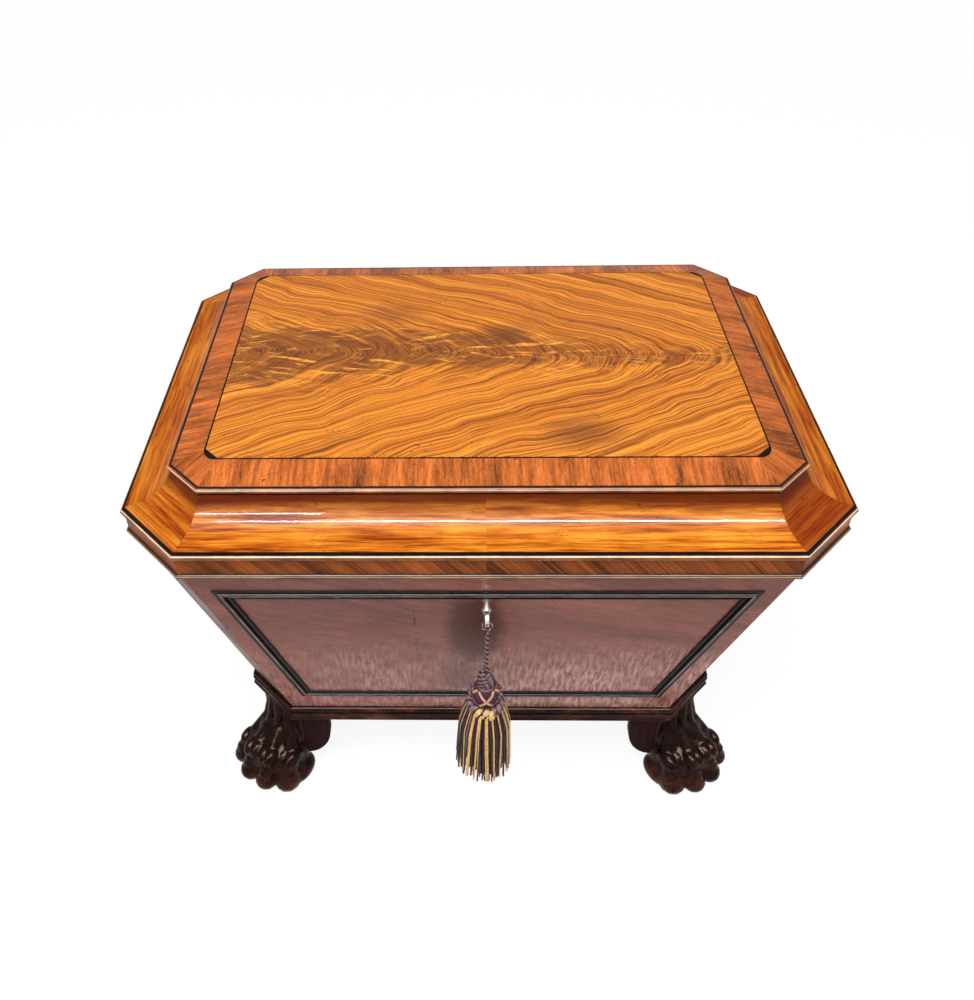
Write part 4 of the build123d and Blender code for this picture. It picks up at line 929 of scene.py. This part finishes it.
class WINECHEST_OT_metalwork(bpy.types.Operator):
    """Finish the lining, the hinges, the lock and the key"""

    bl_idname = "winechest.metalwork"
    bl_label = "Finish Metalwork"

    def execute(self, context):
        finish_nodes(metal("lining", (0.34, 0.34, 0.35), (0.12, 0.12, 0.12), 0.42), "metal_liner")
        finish_nodes(
            metal("brass", (0.60, 0.40, 0.14), (0.16, 0.09, 0.03), 0.26),
            "carcase_hinge_leaves", "lid_hinge_leaves", "hinge_pins", "selvedge", "link_plate",
            "lock_curtain", "escutcheon", "carcase_hinge_screws", "lid_hinge_screws", "selvedge_screws",
            "link_plate_screws",
        )
        finish_nodes(
            metal("steel", (0.46, 0.43, 0.40), (0.10, 0.085, 0.075), 0.24),
            "lock_case", "lock_cap", "drill_pin", "lock_bolt",
        )
        finish_nodes(metal("bright steel", (0.86, 0.82, 0.76), (0.34, 0.28, 0.24), 0.20), "key")
        return {"FINISHED"}


class WINECHEST_OT_feet(bpy.types.Operator):
    """Carve the four paw feet and stain their brackets"""

    bl_idname = "winechest.feet"
    bl_label = "Carve Feet"

    def execute(self, context):
        finish_nodes(
            plain_timber("foot bracket", (0.024, 0.008, 0.007), (1.0, 1.0, 0.06), 0.03), "foot_brackets"
        )
        material = carved_wood()
        paw = self.carve(context.scene.winechest_feet)
        for name, flip_x, flip_y in (
            ("front_left", 1, 1), ("front_right", -1, 1), ("back_left", 1, -1), ("back_right", -1, -1),
        ):
            bm = bmesh.new()
            bm.from_mesh(paw)
            mirror = Matrix.Translation((0, LID_MIDDLE.y, 0)) @ Matrix.Diagonal((flip_x, flip_y, 1, 1))
            bmesh.ops.transform(bm, matrix=mirror, verts=bm.verts)
            bmesh.ops.recalc_face_normals(bm, faces=bm.faces)
            foot = piece_from("carved_paw_" + name, bm, material, "carcase")
            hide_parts("paw_" + name)
        bpy.data.meshes.remove(paw)
        return {"FINISHED"}

    def carve(self, settings):
        """Mesh of the front left paw, about the middle of the chest."""
        bm = bmesh.new()
        # Each lump is given sideways, ahead and up from the ankle's foot
        limb(bm, (0, 0, settings.height), (0, 0.002, 0.055), 0.0215, 0.026)
        lump(bm, (0.0, 0.014, 0.052), (0.034, 0.034, 0.033))
        lump(bm, (0.0, 0.030, 0.031), (0.044, 0.042, 0.036))
        lump(bm, (-0.004, 0.006, 0.026), (0.039, 0.036, 0.034))
        for toe in (
            # sideways at the knuckle, sideways at the tip, ahead at the tip, radius, height of the knuckle
            (-0.028, -0.037, 0.058, 0.0130, 0.042),
            (-0.010, -0.013, 0.070, 0.0145, 0.051),
            (0.011, 0.013, 0.070, 0.0145, 0.051),
            (0.029, 0.036, 0.055, 0.0165, 0.045),
        ):
            self.add_toe(bm, *toe)
        # Locks of hair down the lower leg, each with its angle from straight ahead and its length
        for angle, length in (
            (-150, 0.030), (-120, 0.042), (-88, 0.036), (-55, 0.046), (-25, 0.040), (5, 0.048),
            (35, 0.040), (62, 0.046), (92, 0.036), (124, 0.042), (158, 0.030),
        ):
            self.add_lock(bm, radians(angle), length, settings.height)
        turn = Matrix.Rotation(pi - settings.turn, 4, "Z") @ Matrix.Diagonal((-1, 1, 1, 1))
        bmesh.ops.transform(bm, matrix=Matrix.Translation(settings.ankle) @ turn, verts=bm.verts)
        self.add_block(bm, settings.height)
        return self.run_together(mesh_from("paw", bm), settings)

    def add_toe(self, bm, root, tip, ahead, radius, knuckle_height):
        """Toe with a sinew over it, a double knuckle and a pad under its tip."""
        knuckle = Vector(((root + tip) / 2, ahead - 0.016, knuckle_height))
        limb(bm, (root * 0.55, 0.014, 0.084), knuckle, radius * 0.42, radius * 0.66)
        for side in (-0.34, 0.34):
            half_sizes = (radius * 0.56, radius * 1.10, radius * 0.86)
            lump(bm, knuckle + Vector((radius * side, 0.003, -0.001)), half_sizes)
        limb(bm, knuckle, (tip, ahead - 0.003, 0.026), radius * 0.80, radius * 0.84)
        lump(bm, (tip, ahead - 0.002, 0.0150), (radius * 1.04, radius * 1.20, radius * 1.10))
        lump(bm, (tip, ahead - 0.022, 0.012), (radius * 1.05, radius * 1.6, radius))

    def add_lock(self, bm, spin, length, height):
        """Lock of hair that hangs from the carcase down the leg."""
        top = Vector((0.0195 * sin(spin), 0.0195 * cos(spin), height - 0.003))
        waist = Vector((0.0235 * sin(spin + 0.1), 0.002 + 0.0235 * cos(spin + 0.1), height - 0.024))
        foot = Vector((0.032 * sin(spin), 0.008 + 0.032 * cos(spin), height - 0.020 - length))
        limb(bm, top, waist, 0.0046, 0.0052)
        limb(bm, waist, foot, 0.0052, 0.0034)

    def add_block(self, bm, height):
        """Block behind the ankle, which the brackets meet; its outer corner is cut off."""
        width, relief, drop = 0.0545, 0.012, 0.080
        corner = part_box("foot_brackets")[0]
        inner_x = corner.x + width
        inner_y = corner.y - LID_MIDDLE.y + width
        outline = (
            (inner_x, inner_y - width), (inner_x, inner_y), (inner_x - width, inner_y),
            (inner_x - width, inner_y - relief), (inner_x - relief, inner_y - width),
        )
        face = bm.faces.new([bm.verts.new((x, y, height - drop)) for x, y in outline])
        raised = bmesh.ops.extrude_face_region(bm, geom=[face])
        verts = [item for item in raised["geom"] if isinstance(item, bmesh.types.BMVert)]
        bmesh.ops.translate(bm, verts=verts, vec=(0, 0, drop))
        bmesh.ops.recalc_face_normals(bm, faces=bm.faces)

    def run_together(self, rough, settings):
        """Joins the lumps into one skin, smooths it, and cuts it level with the floor and the carcase."""
        holder = placed("paw", rough)
        skin = holder.modifiers.new("skin", "REMESH")
        skin.mode = "VOXEL"
        skin.voxel_size = settings.carving_size
        smooth = holder.modifiers.new("smooth", "SMOOTH")
        smooth.factor = 0.5
        smooth.iterations = 9
        graph = bpy.context.evaluated_depsgraph_get()
        mesh = bpy.data.meshes.new_from_object(holder.evaluated_get(graph))
        bpy.data.objects.remove(holder)
        bpy.data.meshes.remove(rough)
        bm = bmesh.new()
        bm.from_mesh(mesh)
        for level, normal in ((0, -1), (settings.height, 1)):
            geom = bm.verts[:] + bm.edges[:] + bm.faces[:]
            cut = bmesh.ops.bisect_plane(
                bm, geom=geom, plane_co=(0, 0, level), plane_no=(0, 0, normal), clear_outer=True
            )
            rim = [item for item in cut["geom_cut"] if isinstance(item, bmesh.types.BMEdge)]
            bmesh.ops.holes_fill(bm, edges=rim)
        bm.to_mesh(mesh)
        bm.free()
        return mesh


class WINECHEST_OT_key_cord(bpy.types.Operator):
    """Loop the cord through the key's bow"""

    bl_idname = "winechest.key_cord"
    bl_label = "Loop Key Cord"

    def execute(self, context):
        settings = context.scene.winechest_tassel
        materials = [thread("loop mauve", settings.mauve), thread("loop plum", settings.plum)]
        middle = (LOOP_LOW + LOOP_HIGH) / 2
        loop_radius, strand_offset, strand_radius = 0.0048, 0.00058, 0.00062
        tilt = Matrix.Rotation(FRONT_SLOPE, 3, "X")
        runs = ring_twist(middle, loop_radius, strand_offset, 2, 5, 90, tilt)
        loop = tubes("key_loop", strands_of(runs, strand_radius), materials, "key")
        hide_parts("cord_loop")
        return {"FINISHED"}


class WINECHEST_OT_tassel(bpy.types.Operator):
    """Make the hanging cord and the tassel"""

    bl_idname = "winechest.tassel"
    bl_label = "Make Tassel"

    def execute(self, context):
        settings = context.scene.winechest_tassel
        self.settings = settings
        self.materials = [
            thread("mauve thread", settings.mauve),
            thread("plum thread", settings.plum),
            thread("gold thread", settings.gold),
            thread("black thread", dimmed(settings.plum, 0.35)),
            thread("russet thread", (0.075, 0.016, 0.014)),
            thread("mould silk", (0.085, 0.012, 0.034)),
        ]
        parts = [self.make_knob(), *self.make_mould(), self.make_ruff()]
        self.make_skirt()
        self.make_cord(parts)
        return {"FINISHED"}

    def spot(self, height, radius=0.0, angle=0.0):
        """Point round the hanging line; an angle of 0 faces the front."""
        return Vector((CORD_SPOT.x + radius * sin(angle), CORD_SPOT.y - radius * cos(angle), height))

    def rope(self, name, pieces, slot="cord", roundness=3, as_mesh=False):
        """Tubes of thread that ride on the tassel."""
        return tubes(name, pieces, self.materials, "tassel", roundness, as_mesh)

    def make_cord(self, parts):
        """Two-ply cord along one straight hanging line."""
        route = [
            (CORD_SPOT.x, CORD_SPOT.y, CORD_HIGH.z),
            (CORD_SPOT.x, CORD_SPOT.y, (CORD_HIGH.z + CORD_LOW.z) / 2),
            (CORD_SPOT.x, CORD_SPOT.y, CORD_LOW.z),
        ]
        curve = bpy.data.curves.new("cord_route", "CURVE")
        curve.dimensions = "3D"
        curve.resolution_u = 40
        spline = curve.splines.new("NURBS")
        spline.points.add(len(route) - 1)
        for knot, point in zip(spline.points, route):
            knot.co = (*point, 1.0)
        spline.order_u = 3
        spline.use_endpoint_u = True
        line = mesh_along("cord_route", curve)
        points = [vertex.co.copy() for vertex in line.vertices]
        bpy.data.meshes.remove(line)
        radius = self.settings.strand_radius
        runs = twist(points, 2, radius * 0.86, 8.5)
        cord = self.rope("hanging_cord", strands_of(runs, radius), as_mesh=True)
        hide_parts("tassel_cord")

    def make_knob(self):
        """Cone of rope wound in rings, widest near its foot."""
        low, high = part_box("tassel_knob")
        rings, clearance, neck, belly = 6, 0.002, 0.0018, 0.0056
        strand_offset, strand_radius, core_radius = 0.0009, 0.00125, 0.0042
        pitch = (high.z - low.z - 2 * clearance) / (rings - 1)
        pieces = []
        for ring in range(rings):
            share = ring / (rings - 1)
            swell = sqrt(max(0.0, 1 - ((share - 0.72) / 0.78) ** 2))
            centre = self.spot(high.z - clearance - pitch * ring)
            runs = ring_twist(centre, neck + belly * swell, strand_offset, 2, 5 + ring, 72)
            pieces += strands_of(runs, strand_radius)
        core = [self.spot(z) for z in (high.z - clearance, (high.z + low.z) / 2, low.z)]
        pieces.append((core, core_radius, PLUM))
        knob = self.rope("rope_knob", pieces)
        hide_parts("tassel_knob")
        return knob

    def mould_radius(self, share):
        """Radius of the oval mould from its top, 0, to its foot, 1."""
        return 0.0080 + 0.0058 * sqrt(max(0.0, 1 - ((share - 0.52) / 0.56) ** 2))

    def make_mould(self):
        """Covered oval mould with gold cords crossed over it and ropes at its sides."""
        low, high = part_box("tassel_mould")
        height = high.z - low.z
        steps, cover = 22, 0.0008
        bm = bmesh.new()
        profile = [bm.verts.new(self.spot(high.z))]
        for i in range(steps + 1):
            share = i / steps
            radius = self.mould_radius(share) - cover
            profile.append(bm.verts.new(self.spot(high.z - share * height, radius)))
        profile.append(bm.verts.new(self.spot(low.z)))
        edges = [bm.edges.new(pair) for pair in zip(profile, profile[1:])]
        bmesh.ops.spin(
            bm, geom=profile + edges, cent=self.spot(0), axis=(0, 0, 1), angle=tau, steps=48, use_merge=True
        )
        bmesh.ops.remove_doubles(bm, verts=bm.verts, dist=1e-6)
        bmesh.ops.recalc_face_normals(bm, faces=bm.faces)
        mould = piece_from("covered_mould", bm, self.materials[SILK], "tassel")
        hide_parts("tassel_mould")
        return mould, self.make_lacing(high.z, height), self.make_side_ropes(high.z, height)

    def make_lacing(self, top, height):
        """Gold cords edged with mauve, crossed on each quarter of the mould."""
        lift, spacing, lean, cord_radius, steps = 0.0002, 0.085, 1.5, 0.00058, 24
        pieces = []
        for quarter in range(4):
            for slant in (-1, 1):
                for lane, number in ((-1, MAUVE), (0, GOLD), (1, GOLD), (2, MAUVE)):
                    run = []
                    for i in range(steps + 1):
                        share = 0.06 + 0.88 * i / steps
                        angle = tau * quarter / 4 + slant * (share - 0.5) * lean + lane * spacing
                        run.append(self.spot(top - share * height, self.mould_radius(share) + lift, angle))
                    pieces.append((run, cord_radius, number))
        return self.rope("gold_lacing", pieces, "covered_mould", roundness=1)

    def make_side_ropes(self, top, height):
        """Two ropes that bow out down each side of the mould."""
        inner_radius, bow, strand_offset, strand_radius, steps = 0.0095, 0.0068, 0.0009, 0.0011, 40
        pieces = []
        for side in (-1, 1):
            for shift in (0.0, 0.34):
                line = []
                for i in range(steps + 1):
                    share = i / steps
                    angle = side * (pi / 2 - 0.25 + shift) + 0.1 * side * sin(tau * share)
                    z = top - 0.002 - share * (height - 0.001)
                    line.append(self.spot(z, inner_radius + bow * sin(pi * share), angle))
                pieces += strands_of(twist(line, 2, strand_offset, 5), strand_radius)
        return self.rope("side_ropes", pieces)

    def make_ruff(self):
        """Thick twisted rope round the head of the fringe, with a gold knot in front."""
        low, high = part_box("tassel_ruff")
        middle = self.spot((low.z + high.z) / 2)
        strand_offset, strand_radius, steps = 0.0019, 0.0020, 216
        gold_start, gold_end = 138, 172
        pieces = []
        for major, lift, turns in ((0.0166, 0.0030, 15), (0.0162, -0.0032, 17)):
            centre = middle + Vector((0, 0, lift))
            for strand, run in enumerate(ring_twist(centre, major, strand_offset, 3, turns, steps)):
                # The twist is gold in front, and mauve and plum round the rest
                plain, bright = (MAUVE, PLUM, MAUVE)[strand], (GOLD, BLACK, GOLD)[strand]
                pieces.append((run[: gold_start + 1], strand_radius, plain))
                pieces.append((run[gold_start : gold_end + 1], strand_radius, bright))
                pieces.append((run[gold_end:], strand_radius, plain))
        winds, knot_steps, knot_radius, core_radius = 4, 60, 0.0012, 0.0140
        knot = []
        for i in range(knot_steps + 1):
            share = i / knot_steps
            wind = tau * winds * share
            angle = 0.30 + 0.20 * (share - 0.5)
            knot.append(self.spot(middle.z + 0.0058 * sin(wind), 0.0186 + 0.0028 * cos(wind), angle))
        pieces.append((knot, knot_radius, GOLD))
        core = [self.spot(high.z - share * (high.z - low.z)) for share in (0.02, 0.5, 1.0)]
        pieces.append((core, core_radius, PLUM))
        ruff = self.rope("rope_ruff", pieces)
        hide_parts("tassel_ruff")
        return ruff

    def make_skirt(self):
        """Fringe of hanging strands, with gold ones in bands."""
        low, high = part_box("tassel_skirt")
        chance = random.Random(7)
        dark = (PLUM, RUSSET, BLACK, PLUM, RUSSET, BLACK, BLACK, MAUVE)
        top = high.z + 0.004
        head_radius, shoulder, spread, steps = 0.0185, 0.0065, 0.0035, 7
        gold_radius, dark_radius = 0.00105, 0.00090
        pieces = []
        # Each layer's place inwards, its share of the outer layer's width, and how much shorter it is
        for layer, share, length_loss in ((0, 1.0, 0.0), (1, 0.86, 0.004), (2, 0.68, 0.002)):
            count = int(self.settings.strands_in_fringe * share)
            for i in range(count):
                angle = tau * (i + 0.3 * chance.random()) / count
                gold = sin(angle * 19 + 0.9) > 0.58 and layer == 0
                number = GOLD if gold else chance.choice(dark)
                ragged = chance.random() * (0.003 if gold else 0.010) + length_loss
                sway = 0.10 * sin(angle * 5 + 1) + (chance.random() - 0.5) * (0.03 if gold else 0.20)
                lean = (chance.random() - 0.5) * (0.0015 if gold else 0.0046)
                run = []
                for step in range(steps + 1):
                    down = step / steps
                    flare = head_radius + shoulder * min(1.0, down * 4.0) + spread * down + lean * down
                    height = top - down * (top - low.z - ragged)
                    run.append(self.spot(height, (flare + 0.0006) * share, angle + sway * down * down))
                pieces.append((run, gold_radius if gold else dark_radius, number))
        skirt = self.rope("fringe", pieces, "fringe", roundness=1)
        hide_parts("tassel_skirt")


class WINECHEST_PT_panel(bpy.types.Panel):
    """Settings and steps of the wine chest"""

    bl_idname = "WINECHEST_PT_panel"
    bl_label = "Wine Chest"
    bl_space_type = "VIEW_3D"
    bl_region_type = "UI"
    bl_category = "Wine Chest"

    def draw(self, context):
        for operator, group in STEPS:
            box = self.layout.box()
            box.operator(operator)
            if group:
                settings = getattr(context.scene, group)
                for name in settings.bl_rna.properties.keys():
                    if name not in ("rna_type", "name"):
                        box.prop(settings, name)


STEPS = (
    ("winechest.stage", "winechest_stage"),
    ("winechest.tassel", "winechest_tassel"),
    ("winechest.key_cord", None),
    ("winechest.timber", "winechest_timber"),
    ("winechest.metalwork", None),
    ("winechest.feet", "winechest_feet"),
)
GROUPS = {
    "winechest_stage": StageSettings,
    "winechest_timber": TimberSettings,
    "winechest_feet": FootSettings,
    "winechest_tassel": TasselSettings,
}
CLASSES = (
    *GROUPS.values(),
    WINECHEST_OT_stage,
    WINECHEST_OT_timber,
    WINECHEST_OT_metalwork,
    WINECHEST_OT_feet,
    WINECHEST_OT_key_cord,
    WINECHEST_OT_tassel,
    WINECHEST_PT_panel,
)


def register():
    for item in CLASSES:
        bpy.utils.register_class(item)
    for name, group in GROUPS.items():
        setattr(bpy.types.Scene, name, PointerProperty(type=group))


def unregister():
    for name in GROUPS:
        delattr(bpy.types.Scene, name)
    for item in reversed(CLASSES):
        bpy.utils.unregister_class(item)


def main():
    register()
    for operator, _ in STEPS:
        family, name = operator.split(".")
        getattr(getattr(bpy.ops, family), name)()


if __name__ == "__main__":
    main()
